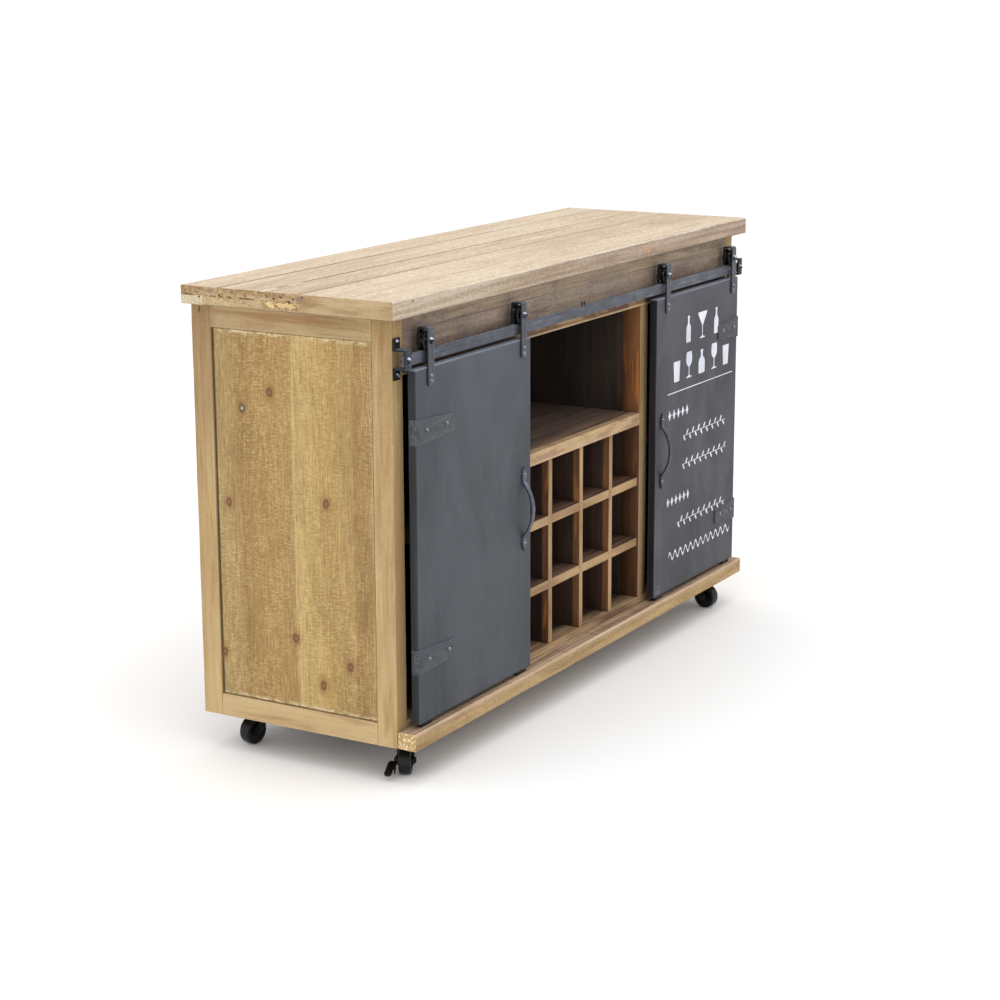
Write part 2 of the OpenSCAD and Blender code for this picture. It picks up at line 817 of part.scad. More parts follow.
roller(hanger_xs(-1)[1]);  // left_inner_roller
roller(hanger_xs(1)[0]);  // right_inner_roller
roller(hanger_xs(1)[1]);  // right_outer_roller
caster_fork(0);  // front_left_fork
caster_fork(1);  // front_right_fork
caster_fork(2);  // rear_left_fork
caster_fork(3);  // rear_right_fork
caster_axle(0, brake_room);  // front_left_axle
caster_axle(1);  // front_right_axle
caster_axle(2);  // rear_left_axle
caster_axle(3);  // rear_right_axle
caster_wheel(0);  // front_left_wheel
caster_wheel(1);  // front_right_wheel
caster_wheel(2);  // rear_left_wheel
caster_wheel(3);  // rear_right_wheel
caster_brake(0);  // front_left_brake
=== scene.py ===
"""Looks of the rolling bar cabinet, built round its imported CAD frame. Metres, +Z up, +Y back."""
import json
import math

import bmesh
import bpy
import numpy as np
from mathutils import Matrix, Vector


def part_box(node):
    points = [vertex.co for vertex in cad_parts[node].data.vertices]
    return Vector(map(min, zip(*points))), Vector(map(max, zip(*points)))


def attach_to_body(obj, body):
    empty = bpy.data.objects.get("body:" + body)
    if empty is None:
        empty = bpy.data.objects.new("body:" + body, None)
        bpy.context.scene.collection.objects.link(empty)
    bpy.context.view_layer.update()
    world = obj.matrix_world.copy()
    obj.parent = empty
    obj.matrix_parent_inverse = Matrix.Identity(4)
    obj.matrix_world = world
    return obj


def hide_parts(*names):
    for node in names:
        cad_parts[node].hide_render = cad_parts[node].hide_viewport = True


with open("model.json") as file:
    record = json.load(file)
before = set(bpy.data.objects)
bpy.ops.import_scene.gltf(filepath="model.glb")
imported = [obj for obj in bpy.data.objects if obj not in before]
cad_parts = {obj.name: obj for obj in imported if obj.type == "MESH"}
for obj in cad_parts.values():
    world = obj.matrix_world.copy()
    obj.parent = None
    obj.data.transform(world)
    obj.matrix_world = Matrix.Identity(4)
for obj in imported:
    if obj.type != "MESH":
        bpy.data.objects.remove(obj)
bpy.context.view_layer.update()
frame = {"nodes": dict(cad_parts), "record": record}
BODY_OF = {n: body for body, names in frame["record"]["behaviour"]["bodies"].items()
           for n in names}

MM = 0.001
TONES = 0.25                     # how much paler or darker than usual one board may be
EDGE_WAVES = (9, 23, 61, 140)    # how fast the wear along a board's edge comes and goes
SLACK = 2e-5                     # how far outside its solid's box a point may lie
FLAT_ANGLE, BEVEL_ANGLE, SMOOTH_ANGLE = (math.radians(a) for a in (0.6, 32, 38))
KNOT_SIZE = 0.0058
KNOT_STRETCH = (0, 1, 0.75)      # knots are a little taller than wide, and go right through


# ---------------------------------------------------------------- reading the CAD frame

def corners(node):
    """Low and high corner of a CAD node, as arrays."""
    lo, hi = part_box(node)
    return np.array(lo, float), np.array(hi, float)


def points_of(mesh):
    """A mesh's points, one row each."""
    co = np.empty(len(mesh.vertices) * 3)
    mesh.vertices.foreach_get("co", co)
    return co.reshape(-1, 3)


def solid_boxes(node):
    """Boxes of the separate solids in a CAD node, from low X, Y, Z to high."""
    mesh = frame["nodes"][node].data
    co = points_of(mesh)
    same = np.unique(np.round(co, 5), axis=0, return_inverse=True)[1].ravel()
    root = list(range(int(same.max()) + 1))

    def find(i):
        while root[i] != i:
            root[i] = root[root[i]]
            i = root[i]
        return i

    for poly in mesh.polygons:
        first = find(same[poly.vertices[0]])
        for v in poly.vertices[1:]:
            root[find(same[v])] = first
    groups = {}
    for i, s in enumerate(same):
        groups.setdefault(find(s), []).append(i)
    boxes = [(co[g].min(0), co[g].max(0)) for g in groups.values()]
    return sorted(boxes, key=lambda b: tuple(np.round(b[0], 4)))


# ---------------------------------------------------------------- making pieces

def seeded(node):
    """Random numbers that are a node's own, and the same in each run."""
    return np.random.default_rng(sum(map(ord, node)))


def add_to_scene(name, data):
    obj = bpy.data.objects.new(name, data)
    bpy.context.scene.collection.objects.link(obj)
    return obj


def finish_piece(mesh, node, material):
    """Puts a piece in the scene in place of a CAD node, on the node's body."""
    mesh.materials.clear()
    mesh.materials.append(material)
    obj = add_to_scene(node + "_piece", mesh)
    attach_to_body(obj, BODY_OF[node])
    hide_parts(node)


def attach(mesh, **layers):
    """Gives a mesh named values on its points, three numbers or one for each."""
    for name, values in layers.items():
        kind, field = ("FLOAT_VECTOR", "vector") if values.ndim == 2 else ("FLOAT", "value")
        layer = mesh.attributes.new(name, kind, "POINT")
        layer.data.foreach_set(field, np.asarray(values, np.float32).ravel())


def grain_frame(co, lo, hi, axis, rng):
    """Coordinates along the grain, across it and through the board, measured from its pith."""
    size = hi - lo
    across, through = [a for a in np.argsort(-size) if a != axis]
    mid = (lo + hi) / 2
    u = co[:, axis] + rng.uniform(-20, 20)
    v = co[:, across] - mid[across] + rng.uniform(-0.3, 0.3) * size[across]
    w = co[:, through] - mid[through] + rng.choice([-1, 1]) * rng.uniform(0.035, 0.09)
    return np.stack([u, v, w], 1)


def lattice(length, radius, step):
    """Positions along one side of a board: close together near its ends."""
    ends = [k * radius for k in (0, 0.3, 0.65, 1.0)] + [radius + k * MM for k in (2, 6, 14)]
    ends = [e for e in ends if e < length / 2 - 1e-5]
    inner = []
    if step and length > 4 * step:
        count = int(length / step)
        inner = [length * i / count for i in range(1, count)]
        inner = [p for p in inner if ends[-1] + step / 3 < p < length - ends[-1] - step / 3]
    return np.array(sorted(set(ends + inner + [length - e for e in ends])))


def rounded_block(lo, hi, axis, radius, rng, ragged, step, soft):
    """Mesh data of a board with rounded, uneven edges. Returns points, quads and edge distance.

    soft gives (axis, side, share): on that side the rounding is only that share of the radius.
    """
    size = hi - lo
    share = np.ones((2, 3))
    for a, side, k in soft:
        share[side, a] = k
    lines = [lattice(size[a], radius, step if a == axis else 0) for a in range(3)]
    points, quads, base = [], [], 0
    for a in range(3):
        b, c = (a + 1) % 3, (a + 2) % 3
        gb, gc = np.meshgrid(lines[b], lines[c], indexing="ij")
        nb, nc = gb.shape
        for side in (0, 1):
            p = np.zeros((nb * nc, 3))
            p[:, a] = size[a] * side
            p[:, b] = gb.ravel()
            p[:, c] = gc.ravel()
            i = np.arange((nb - 1) * nc).reshape(nb - 1, nc)[:, :-1].ravel() + base
            q = np.stack([i, i + nc, i + nc + 1, i + 1], 1)
            quads.append(q if side else q[:, ::-1])
            points.append(p)
            base += nb * nc
    points = np.concatenate(points)
    _, keep, same = np.unique(np.round(points, 6), axis=0, return_index=True, return_inverse=True)
    points = points[keep]
    quads = same.ravel()[np.concatenate(quads)]
    buried = share < 0.5
    gap = np.sort(np.minimum(points + buried[0], size - points + buried[1]), axis=1)
    edge = gap[:, 1]
    # each long edge gets its own slow wave in how far it is worn
    u = points[:, axis]
    b, c = [a for a in range(3) if a != axis]
    corner = (points[:, b] > size[b] / 2) * 2 + (points[:, c] > size[c] / 2)
    wave = np.zeros(len(points))
    for k in range(4):
        mask = corner == k
        for f in EDGE_WAVES:
            wave[mask] += np.sin(u[mask] * f * rng.uniform(0.7, 1.3) + rng.uniform(0, 6.3)) / 2.6
    local = radius * np.clip(1 - ragged / 2 + ragged / 2 * wave, 0.15, 1)[:, None]
    local = np.minimum(local, size.min() / 2 * 0.98)
    low, high = local * share[0], local * share[1]
    inner = np.clip(points, low, size - high)
    away = points - inner
    reach = np.maximum(np.where(away < 0, low, high), 1e-9)
    long = np.linalg.norm(away / reach, axis=1, keepdims=True)
    points = inner + away / np.maximum(long, 1e-9) * np.minimum(long, 1)
    return points + lo, quads, edge


def boards(node, axis, material, radius=0.0008, ragged=0.5, step=0.03, soft=()):
    """One piece of rounded boards in place of a CAD node whose solids are plain boards."""
    rng = seeded(node)
    all_points, all_quads, grain, wear, tone = [], [], [], [], []
    base = 0
    for k, (lo, hi) in enumerate(solid_boxes(node)):
        way = axis[k] if isinstance(axis, list) else axis
        points, quads, edge = rounded_block(lo, hi, way, radius, rng, ragged, step, soft)
        all_points.append(points)
        all_quads.append(quads + base)
        grain.append(grain_frame(points, lo, hi, way, rng))
        wear.append(np.exp(-edge / 0.004) * (edge < 0.013))
        tone.append(np.full(len(points), rng.uniform(-TONES, TONES)))
        base += len(points)
    mesh = bpy.data.meshes.new(node + "_board")
    mesh.from_pydata(np.concatenate(all_points).tolist(), [], np.concatenate(all_quads).tolist())
    mesh.update()
    mesh.shade_smooth()
    attach(mesh, grain=np.concatenate(grain), wear=np.concatenate(wear), tone=np.concatenate(tone))
    finish_piece(mesh, node, material)


def carved(node, material, bevel, segments=2, axis=None, heads=None):
    """One piece with a CAD node's own shape, its edges eased. With an axis it has wood grain.

    heads is (depth, times): the front of each solid, to that depth, stands that much prouder.
    """
    rng = seeded(node)
    bm = bmesh.new()
    bm.from_mesh(frame["nodes"][node].data)
    bmesh.ops.remove_doubles(bm, verts=bm.verts, dist=2e-6)
    bmesh.ops.dissolve_limit(bm, angle_limit=FLAT_ANGLE, verts=bm.verts, edges=bm.edges)
    if bevel:
        sharp = [e for e in bm.edges
                 if len(e.link_faces) == 2 and e.calc_face_angle() > BEVEL_ANGLE]
        bmesh.ops.bevel(bm, geom=sharp, offset=bevel, offset_type="OFFSET", segments=segments,
                        profile=0.5, affect="EDGES", clamp_overlap=True)
    bmesh.ops.recalc_face_normals(bm, faces=bm.faces)
    mesh = bpy.data.meshes.new(node + "_mesh")
    bm.to_mesh(mesh)
    bm.free()
    mesh.shade_smooth()
    mesh.set_sharp_from_angle(angle=SMOOTH_ANGLE)
    co = points_of(mesh)
    grain, tone = np.zeros_like(co), np.zeros(len(co))
    for lo, hi in solid_boxes(node):
        inside = np.all((co > lo - SLACK) & (co < hi + SLACK), axis=1)
        if axis is not None:
            grain[inside] = grain_frame(co[inside], lo, hi, axis, rng)
            tone[inside] = rng.uniform(-TONES, TONES)
        if heads:
            seat = lo[1] + heads[0]
            head = inside & (co[:, 1] < seat)
            co[head, 1] = seat - (seat - co[head, 1]) * heads[1]
    if heads:
        mesh.vertices.foreach_set("co", co.ravel())
        mesh.update()
    if axis is not None:
        attach(mesh, grain=grain, wear=np.zeros(len(co)), tone=tone)
    finish_piece(mesh, node, material)


# ---------------------------------------------------------------- shader building

def linear(r, g, b):
    """A colour written as 0..255 screen values, as linear light."""
    return tuple(((c / 255) / 12.92 if c <= 10.3 else ((c / 255 + 0.055) / 1.055) ** 2.4)
                 for c in (r, g, b)) + (1.0,)


def shade(rgb, share):
    """A 0..255 screen colour as linear light, that many times as bright."""
    return tuple(c * share for c in linear(*rgb)[:3]) + (1.0,)


class Shader:
    """Adds nodes to one material. color is the surface's colour as it is built up."""

    def __init__(self, name):
        self.material = bpy.data.materials.new(name)
        self.material.use_nodes = True
        self.tree = self.material.node_tree
        self.tree.nodes.clear()
        self.here = self.make("ShaderNodeTexCoord").outputs["Object"]
        self.color = None

    def make(self, kind, inputs=(), **settings):
        """A node with its settings; an input's value may be another node's output."""
        made = self.tree.nodes.new(kind)
        for key, value in settings.items():
            setattr(made, key, value)
        for key, value in dict(inputs).items():
            if isinstance(value, bpy.types.NodeSocket):
                self.tree.links.new(value, made.inputs[key])
            else:
                made.inputs[key].default_value = value
        return made

    def math(self, operation, first, *others, clamp=False):
        """One sum; where it has more than two values, they are taken in turn."""
        if len(others) > 1:
            first, others = self.math(operation, first, *others[:-1]), others[-1:]
        made = self.make("ShaderNodeMath", enumerate((first,) + others), operation=operation,
                         use_clamp=clamp)
        return made.outputs[0]

    def times(self, *values):
        return self.math("MULTIPLY", *values)

    def plus(self, *values):
        return self.math("ADD", *values)

    def minus(self, a, b):
        return self.math("SUBTRACT", a, b)

    def size(self, value):
        return self.math("ABSOLUTE", value)

    def above(self, value, level):
        return self.math("GREATER_THAN", value, level)

    def most(self, a, b):
        return self.math("MAXIMUM", a, b)

    def wobble(self, noise, reach):
        """A 0..1 noise as a swing about zero."""
        return self.times(self.minus(noise, 0.5), reach)

    def vector(self, operation, *values):
        return self.make("ShaderNodeVectorMath", enumerate(values), operation=operation)

    def scaled(self, vector, scale, offset=(0, 0, 0)):
        return self.make("ShaderNodeMapping", {"Vector": vector, "Scale": scale,
                                               "Location": offset}).outputs[0]

    def noise(self, scale, detail=3, rough=0.55, bend=0, offset=(0, 0, 0), of=None):
        """Noise with a scale of its own on each axis: the larger, the finer."""
        return self.make("ShaderNodeTexNoise", {
            "Vector": self.scaled(of or self.here, scale, offset), "Scale": 1,
            "Detail": detail, "Roughness": rough, "Distortion": bend}).outputs[0]

    def cells(self, scale, stretch=None):
        """Distance to the nearest of scattered points."""
        place = self.scaled(self.here, stretch) if stretch else self.here
        cells = self.make("ShaderNodeTexVoronoi", {"Vector": place, "Scale": scale})
        return cells.outputs["Distance"]

    def span(self, value, low, high, to_low=0, to_high=1, smooth=True):
        """Takes low..high to to_low..to_high, held there outside it."""
        return self.make("ShaderNodeMapRange", {
            "Value": value, "From Min": low, "From Max": high, "To Min": to_low,
            "To Max": to_high}, clamp=True,
            interpolation_type="SMOOTHSTEP" if smooth else "LINEAR").outputs[0]

    def beside(self, value, edge, low, high, *to):
        """span, for two places that many millimetres past an edge of the CAD model."""
        return self.span(value, edge + low * MM, edge + high * MM, *to)

    def ramp(self, value, stops):
        made = self.make("ShaderNodeValToRGB", {0: value})
        elements = made.color_ramp.elements
        while len(elements) < len(stops):
            elements.new(0.5)
        for element, (at, *color) in zip(elements, stops):
            element.position = at
            element.color = linear(*color)
        return made.outputs[0]

    def mix(self, share, a, b, blend="MIX"):
        """Colour a, with that share of colour b."""
        return self.make("ShaderNodeMix", {0: share, 6: a, 7: b}, data_type="RGBA",
                         blend_type=blend).outputs[2]

    def between(self, share, a, b):
        """mix, for two colours written as screen values."""
        return self.mix(share, linear(*a), linear(*b))

    def over(self, share, *color):
        """Lays a colour over the surface: an output, a linear colour, or three screen values."""
        top = color[0] if len(color) == 1 else linear(*color)
        self.color = self.mix(share, self.color, top)

    def tints(self, noise, *tints):
        """Colours over the surface where a noise is high or low: from, to, share, r, g, b."""
        for low, high, share, *color in tints:
            self.over(self.span(noise, low, high, 0, share), *color)

    def attribute(self, name, output="Fac"):
        return self.make("ShaderNodeAttribute", attribute_name=name).outputs[output]

    def axes(self, vector=None):
        return self.make("ShaderNodeSeparateXYZ", {0: vector or self.here}).outputs[:3]

    def normal(self, axis):
        """How far the surface looks along an axis, from -1 to 1."""
        return self.axes(self.make("ShaderNodeTexCoord").outputs["Normal"])[axis]

    def front(self):
        """How far the surface looks to the cabinet's front, from -1 to 1."""
        return self.times(self.normal(1), -1)

    def near(self, places, stretch):
        """Distance to the nearest of some points, where a stretched axis counts for more."""
        here = self.scaled(self.here, stretch)
        away = [self.vector("DISTANCE", here, [p * k for p, k in zip(place, stretch)]
                            ).outputs["Value"] for place in places]
        return self.math("MINIMUM", *away) if len(away) > 1 else away[0]

    def done(self, rough, height=None, bump=0.3, depth=0.001, specular=0.5):
        shader = self.make("ShaderNodeBsdfPrincipled", {
            "Base Color": self.color, "Roughness": rough, "Specular IOR Level": specular})
        if height is not None:
            made = self.make("ShaderNodeBump", {"Strength": bump, "Distance": depth,
                                                "Height": height})
            self.tree.links.new(made.outputs[0], shader.inputs["Normal"])
        out = self.make("ShaderNodeOutputMaterial")
        self.tree.links.new(shader.outputs[0], out.inputs[0])
        return self.material


# ---------------------------------------------------------------- wood

LATE_WOOD = ((0.0, 0.15), (1.0, 0.0), (0.55, 0.25), (0.82, 0.95), (0.93, 0.8))


class Wood(Shader):
    """Solid wood with growth rings, fibres and saw marks, along each board's own grain."""

    def __init__(self, name, ring, wander, knots=()):
        super().__init__(name)
        self.grain = grain = self.attribute("grain", "Vector")
        v, w = self.axes(grain)[1:]
        slow = self.minus(self.noise((1.6, 5, 5), 2, 0.5, of=grain), 0.5)
        v = self.plus(v, self.times(slow, wander * 2.2))
        w = self.plus(w, self.times(slow, wander))
        from_pith = self.make("ShaderNodeCombineXYZ", {0: 0, 1: v, 2: w}).outputs[0]
        radius = self.vector("LENGTH", from_pith).outputs["Value"]
        fine = self.noise((5, 40, 40), 3, 0.5, of=grain)
        radius = self.plus(radius, self.times(fine, ring * 1.1))
        if knots:
            self.knot_away = self.near(knots, KNOT_STRETCH)
            self.halo = self.span(self.knot_away, KNOT_SIZE, KNOT_SIZE * 3.5, 1, 0)
            radius = self.plus(radius, self.times(self.halo, ring * 3.5))
        turns = self.math("FRACT", self.math("DIVIDE", radius, ring))
        late = self.make("ShaderNodeFloatCurve", {"Value": turns})
        points = late.mapping.curves[0].points
        points[0].location, points[1].location = LATE_WOOD[:2]
        for at in LATE_WOOD[2:]:
            points.new(*at)
        late.mapping.update()
        self.rings = late.outputs[0]
        self.fibres = self.noise((9, 420, 420), 3, 0.6, of=grain)
        self.streaks = self.noise((3, 90, 90), 3, 0.55, of=grain)
        self.saw = self.noise((560, 75, 75), 3, 0.75, of=grain)
        self.blotch = self.noise((5.5, 19, 19), 4, 0.6, 0.4, of=grain)
        self.broad = self.noise((1.3, 9, 9), 2, 0.5, of=grain)

    def blend(self, pale, dark, rings=0.1, streaks=0.6, blotch=0.8, broad=0.5, saw=0):
        """Mixes the two colours by the wood's figure, each part with its own weight."""
        total = self.times(self.rings, rings)
        for value, weight in ((self.streaks, streaks), (self.blotch, blotch),
                              (self.broad, broad), (self.saw, saw)):
            if weight:
                spread = self.span(value, 0.3, 0.72, -weight / 2, weight / 2, smooth=False)
                total = self.plus(total, spread)
        total = self.plus(total, self.times(self.attribute("tone"), 0.5))
        return self.between(self.math("ADD", total, 0.32, clamp=True), pale, dark)

    def streaked(self, pale, dark, low=0.35, high=0.65):
        """The two colours in fine streaks along the grain."""
        return self.between(self.span(self.streaks, low, high), pale, dark)

    def wood(self, rough, relief, bump, depth, specular):
        """Finishes the wood; rough is the roughness of its low and its high fibres."""
        parts = zip((self.rings, self.fibres, self.saw), relief)
        height = self.plus(*[self.times(value, k) for value, k in parts])
        return self.done(self.span(self.fibres, 0.3, 0.7, *rough), height, bump, depth, specular)


LEFT_X, EDGE_Y = corners("top_plank_1")[0][:2]
TOP_Z = corners("top_plank_1")[1][2]
UNDER_TOP = corners("top_cleats")[0][2]
FACE_Y, BACK_Y = (c[1] for c in corners("left_stiles"))
SIDE_X = corners("right_stiles")[1][0]
PLINTH_Y, PLINTH_TOP = corners("plinth_rail")[0][1], corners("plinth_rail")[1][2]
DOOR_L, DOOR_R = corners("left_door"), corners("right_door")
DOOR_TOP = DOOR_L[1][2]
JOINTS_Y = [corners(f"top_plank_{k}")[1][1] for k in range(1, 5)]


def top_wood():
    s = Wood("weathered_fir_top", ring=0.0048, wander=0.03)
    s.color = s.blend((207, 190, 166), (171, 146, 118), rings=0.2, blotch=0.75, saw=0.3)
    # small whitish and orange-brown flecks, longer along the grain
    zone = s.noise((3.1, 9, 9), 3, 0.6)
    flecks = s.noise((75, 190, 1), 4, 0.75)
    pale = s.times(s.span(flecks, 0.53, 0.62), s.span(zone, 0.36, 0.6, 0.2, 1))
    s.over(s.times(pale, 0.75), 238, 226, 204)
    tan = s.noise((55, 150, 1), 4, 0.75, offset=(3, 8, 0))
    tan = s.times(s.span(tan, 0.53, 0.63), s.span(zone, 0.64, 0.4, 0.25, 1))
    s.over(s.times(tan, 0.7), 172, 134, 98)
    cross = s.times(s.span(s.saw, 0.5, 0.62), s.span(s.blotch, 0.4, 0.62))
    s.over(s.times(cross, 0.5), 234, 220, 196)
    pores = s.noise((130, 300, 300), 3, 0.7)
    s.over(s.span(pores, 0.6, 0.7, 0, 0.5), 140, 106, 76)
    plank_joints(s)
    front_edge(s)
    end_grain(s)
    return s.wood((0.66, 0.88), (0.15, 0.35, 0.8), 0.4, 0.0006, 0.25)


def plank_joints(s):
    """Thin brown lines where two planks meet, broken here and there, the front one hardly seen."""
    x, y = s.axes()[:2]
    along = s.noise((5.5, 0.2, 0.2), 4, 0.7)
    waver = s.wobble(s.noise((26, 0.2, 0.2), 3, 0.6, offset=(4, 0, 0)), 0.0022)
    up = s.above(s.normal(2), 0.3)
    fade = s.span(x, -0.2, 0.6, 1, 0.35)
    for place, strength in zip(JOINTS_Y, (0.2, 0.8, 1, 1)):
        away = s.size(s.minus(s.plus(y, waver), place))
        line = s.span(away, 0.0014, 0.0036, 1, 0)
        line = s.times(line, s.span(along, 0.36, 0.54, 0.45, 1))
        s.over(s.times(line, strength, up, fade), 112, 80, 62)
    # by the left end the middle joint is chipped and pale
    away = s.size(s.minus(y, JOINTS_Y[2] - 0.002))
    pale = s.times(s.span(away, 0.0015, 0.005, 1, 0), s.beside(x, LEFT_X, 200, 60))
    pale = s.times(pale, s.span(waver, -0.0004, 0.0002))
    s.over(s.times(pale, up), 236, 222, 198)


def front_edge(s):
    """The tabletop's front edge: greige by its left end, pinkish brown further right."""
    upper_face = s.color
    x, y, z = s.axes()
    front = s.above(s.front(), 0.6)
    bands = s.noise((3.2, 1, 110), 4, 0.6)
    marks = s.noise((230, 1, 60), 3, 0.7)
    patch = s.noise((9, 1, 30), 3, 0.6)
    left = s.span(x, LEFT_X, LEFT_X + 0.75)
    s.color = s.between(left, (199, 185, 168), (178, 159, 142))
    dark = s.between(left, (168, 148, 122), (138, 116, 90))
    s.over(s.span(bands, 0.36, 0.68, 0, 0.9), dark)
    tint = s.between(left, (184, 170, 134), (148, 124, 112))
    s.over(s.span(patch, 0.48, 0.66, 0, 0.65), tint)
    s.over(s.span(marks, 0.54, 0.7, 0, 0.25), 206, 192, 170)
    grit = s.noise((150, 1, 380), 3, 0.75)
    s.tints(grit, (0.5, 0.66, 0.5, 126, 104, 82), (0.46, 0.34, 0.4, 206, 190, 166))
    knot = s.near([(LEFT_X + 0.925, EDGE_Y, TOP_Z - 0.015)], (0.35, 0, 1))
    knot = s.plus(knot, s.wobble(grit, 0.01))
    s.over(s.span(knot, 0.001, 0.009, 0.75, 0), 192, 150, 112)
    # painted shade: a dark line along the foot of the front edge, next to the underside
    under = s.beside(z, UNDER_TOP, 2.5, 0.8)
    s.over(s.times(under, 0.6), 84, 64, 50)
    scar = s.near([(LEFT_X + 0.062, EDGE_Y, TOP_Z - 0.006)], (0.5, 0, 1))
    s.over(s.span(scar, 0.0015, 0.0035, 0.6, 0), 110, 92, 74)
    s.color = s.mix(front, upper_face, s.color)
    crest = s.times(s.beside(z, TOP_Z, -3.6, -1.2), s.beside(y, EDGE_Y, 3.4, 1.2))
    worn = s.noise((22, 60, 60), 5, 0.8)
    crest = s.times(crest, s.span(worn, 0.36, 0.64, 0.1, 0.75))
    s.over(crest, 238, 228, 212)


def end_grain(s):
    """The tabletop's sawn ends: rough brown planks with holes, a smoother band under them."""
    long_faces = s.color
    y, z = s.axes()[1:]
    end = s.above(s.size(s.normal(0)), 0.6)
    fine = s.noise((1, 260, 420), 3, 0.7)
    mesh = s.noise((1, 150, 230), 4, 0.75, 0.5)
    patch = s.noise((1, 11, 80), 3, 0.6)
    behind = s.beside(y, EDGE_Y, 165, 190)
    upper = s.times(s.beside(z, TOP_Z, -17.2, -15), behind)
    pale = s.between(upper, (184, 160, 122), (190, 162, 124))
    dark = s.between(upper, (152, 124, 86), (142, 112, 74))
    s.color = s.mix(s.span(patch, 0.35, 0.68), pale, dark)
    rougher = s.span(behind, 0, 1, 0.3, 1)
    s.over(s.times(s.span(fine, 0.46, 0.66, 0, 0.55), rougher), 212, 190, 150)
    s.over(s.times(s.span(fine, 0.48, 0.34, 0, 0.45), rougher), 134, 106, 72)
    # painted shade: a dark line along the foot of the ends, next to the underside
    under = s.beside(z, UNDER_TOP, 2.2, 0.6)
    s.over(s.times(under, 0.65), 92, 70, 48)
    rough = s.times(s.span(mesh, 0.54, 0.62), s.plus(upper, 0.05))
    s.over(s.times(rough, 0.75), 104, 74, 44)
    # the joint under the rear planks, open in places, and a few holes
    gap = s.size(s.minus(z, TOP_Z - 0.0152))
    open_joint = s.noise((1, 60, 9), 4, 0.7, offset=(0, 2, 0))
    open_joint = s.times(s.span(gap, 0.0006, 0.0024, 1, 0), s.span(open_joint, 0.47, 0.56))
    open_joint = s.times(open_joint, behind)
    s.over(s.times(open_joint, 0.75), 66, 48, 36)
    stub = s.times(s.beside(y, EDGE_Y, 383, 387), s.beside(z, TOP_Z, -15, -17.2))
    s.over(s.times(stub, 0.6), s.between(s.span(fine, 0.4, 0.6), (196, 184, 150), (222, 214, 188)))
    # the holes are near-black spots: painted shade inside them
    holes = [(LEFT_X, EDGE_Y + y0 * MM, TOP_Z - dz * MM) for y0, dz in
             ((178, 4.5), (196, 9), (206, 13.5), (222, 8), (236, 11), (349, 12.5), (392, 18))]
    s.over(s.span(s.near(holes, (0, 0.6, 1)), 0.0009, 0.0022, 0.92, 0), 38, 26, 20)
    bruise = s.near([(LEFT_X, EDGE_Y + 0.368, TOP_Z - 0.007),
                     (LEFT_X, EDGE_Y + 0.183, TOP_Z - 0.008)], (0, 0.5, 1))
    s.over(s.span(bruise, 0.002, 0.006, 0.6, 0), 124, 104, 100)
    putty = s.near([(LEFT_X, EDGE_Y + y0, TOP_Z - 0.0215) for y0 in (0.205, 0.224, 0.244)],
                   (0, 0.42, 1))
    lumps = s.noise((1, 75, 120), 3, 0.7, offset=(0, 3, 1))
    putty = s.plus(putty, s.times(s.minus(lumps, 0.46), 0.026))
    s.over(s.span(putty, 0.0052, 0.0064, 0.9, 0),
           s.between(s.span(fine, 0.4, 0.65), (206, 172, 114), (226, 202, 150)))
    rim = s.times(s.span(putty, 0.0056, 0.0066), s.span(putty, 0.0082, 0.007))
    s.over(s.times(rim, 0.7), 104, 78, 58)
    s.color = s.mix(end, long_faces, s.color)


def frame_wood(name="honey_frame", pale=(170, 143, 99), dark=(134, 105, 64)):
    s = Wood(name, ring=0.0045, wander=0.02)
    y, z = s.axes()[1:]
    s.color = s.blend(pale, dark, rings=0.15, streaks=0.5, blotch=0.75, broad=0.6, saw=0.3)
    weave = s.noise((520, 110, 110), 3, 0.75, of=s.grain)
    s.tints(weave, (0.5, 0.66, 0.16, 214, 190, 146), (0.46, 0.32, 0.16, 128, 100, 62))
    line = s.noise((7, 190, 190), 4, 0.7, of=s.grain)
    s.over(s.span(line, 0.5, 0.66, 0, 0.4), 124, 94, 58)
    # painted light: the frame grows paler towards its foot; painted shadow: a dark line under the
    # tabletop
    s.over(s.span(z, UNDER_TOP, 0.1, 0, 0.42, smooth=False), 222, 194, 144)
    flame = s.noise((4.5, 55, 55), 4, 0.65, 0.4, offset=(2, 1, 0), of=s.grain)
    s.tints(flame, (0.5, 0.66, 0.5, 146, 104, 58), (0.44, 0.3, 0.4, 212, 184, 132))
    gap = s.beside(z, UNDER_TOP, -3.4, -1.2)
    s.over(s.times(gap, 0.75), 78, 56, 40)
    # painted shade: front faces grow darker lower down
    deeper = s.beside(z, UNDER_TOP, -150, -450, 0.03, 0.42)
    s.over(s.times(s.span(s.front(), 0.5, 0.85), deeper), 120, 86, 44)
    # painted shade: darker high up at the rear
    rear = s.times(s.span(z, 0.5, 0.66), s.beside(y, BACK_Y, -60, -40))
    s.over(s.times(rear, 0.3), 120, 86, 66)
    worn = s.times(s.attribute("wear"), s.span(s.streaks, 0.42, 0.62))
    s.over(s.times(worn, 0.2), 216, 196, 158)
    mark = s.near([(-SIDE_X, BACK_Y - 0.0165, UNDER_TOP - 0.015),
                   (-SIDE_X, BACK_Y - 0.0185, UNDER_TOP - 0.011)], (1, 1.4, 0.7))
    s.over(s.span(mark, 0.0014, 0.0034, 0.85, 0), 80, 58, 46)
    return s.wood((0.6, 0.82), (0.2, 0.4, 0.4), 0.3, 0.0005, 0.28)


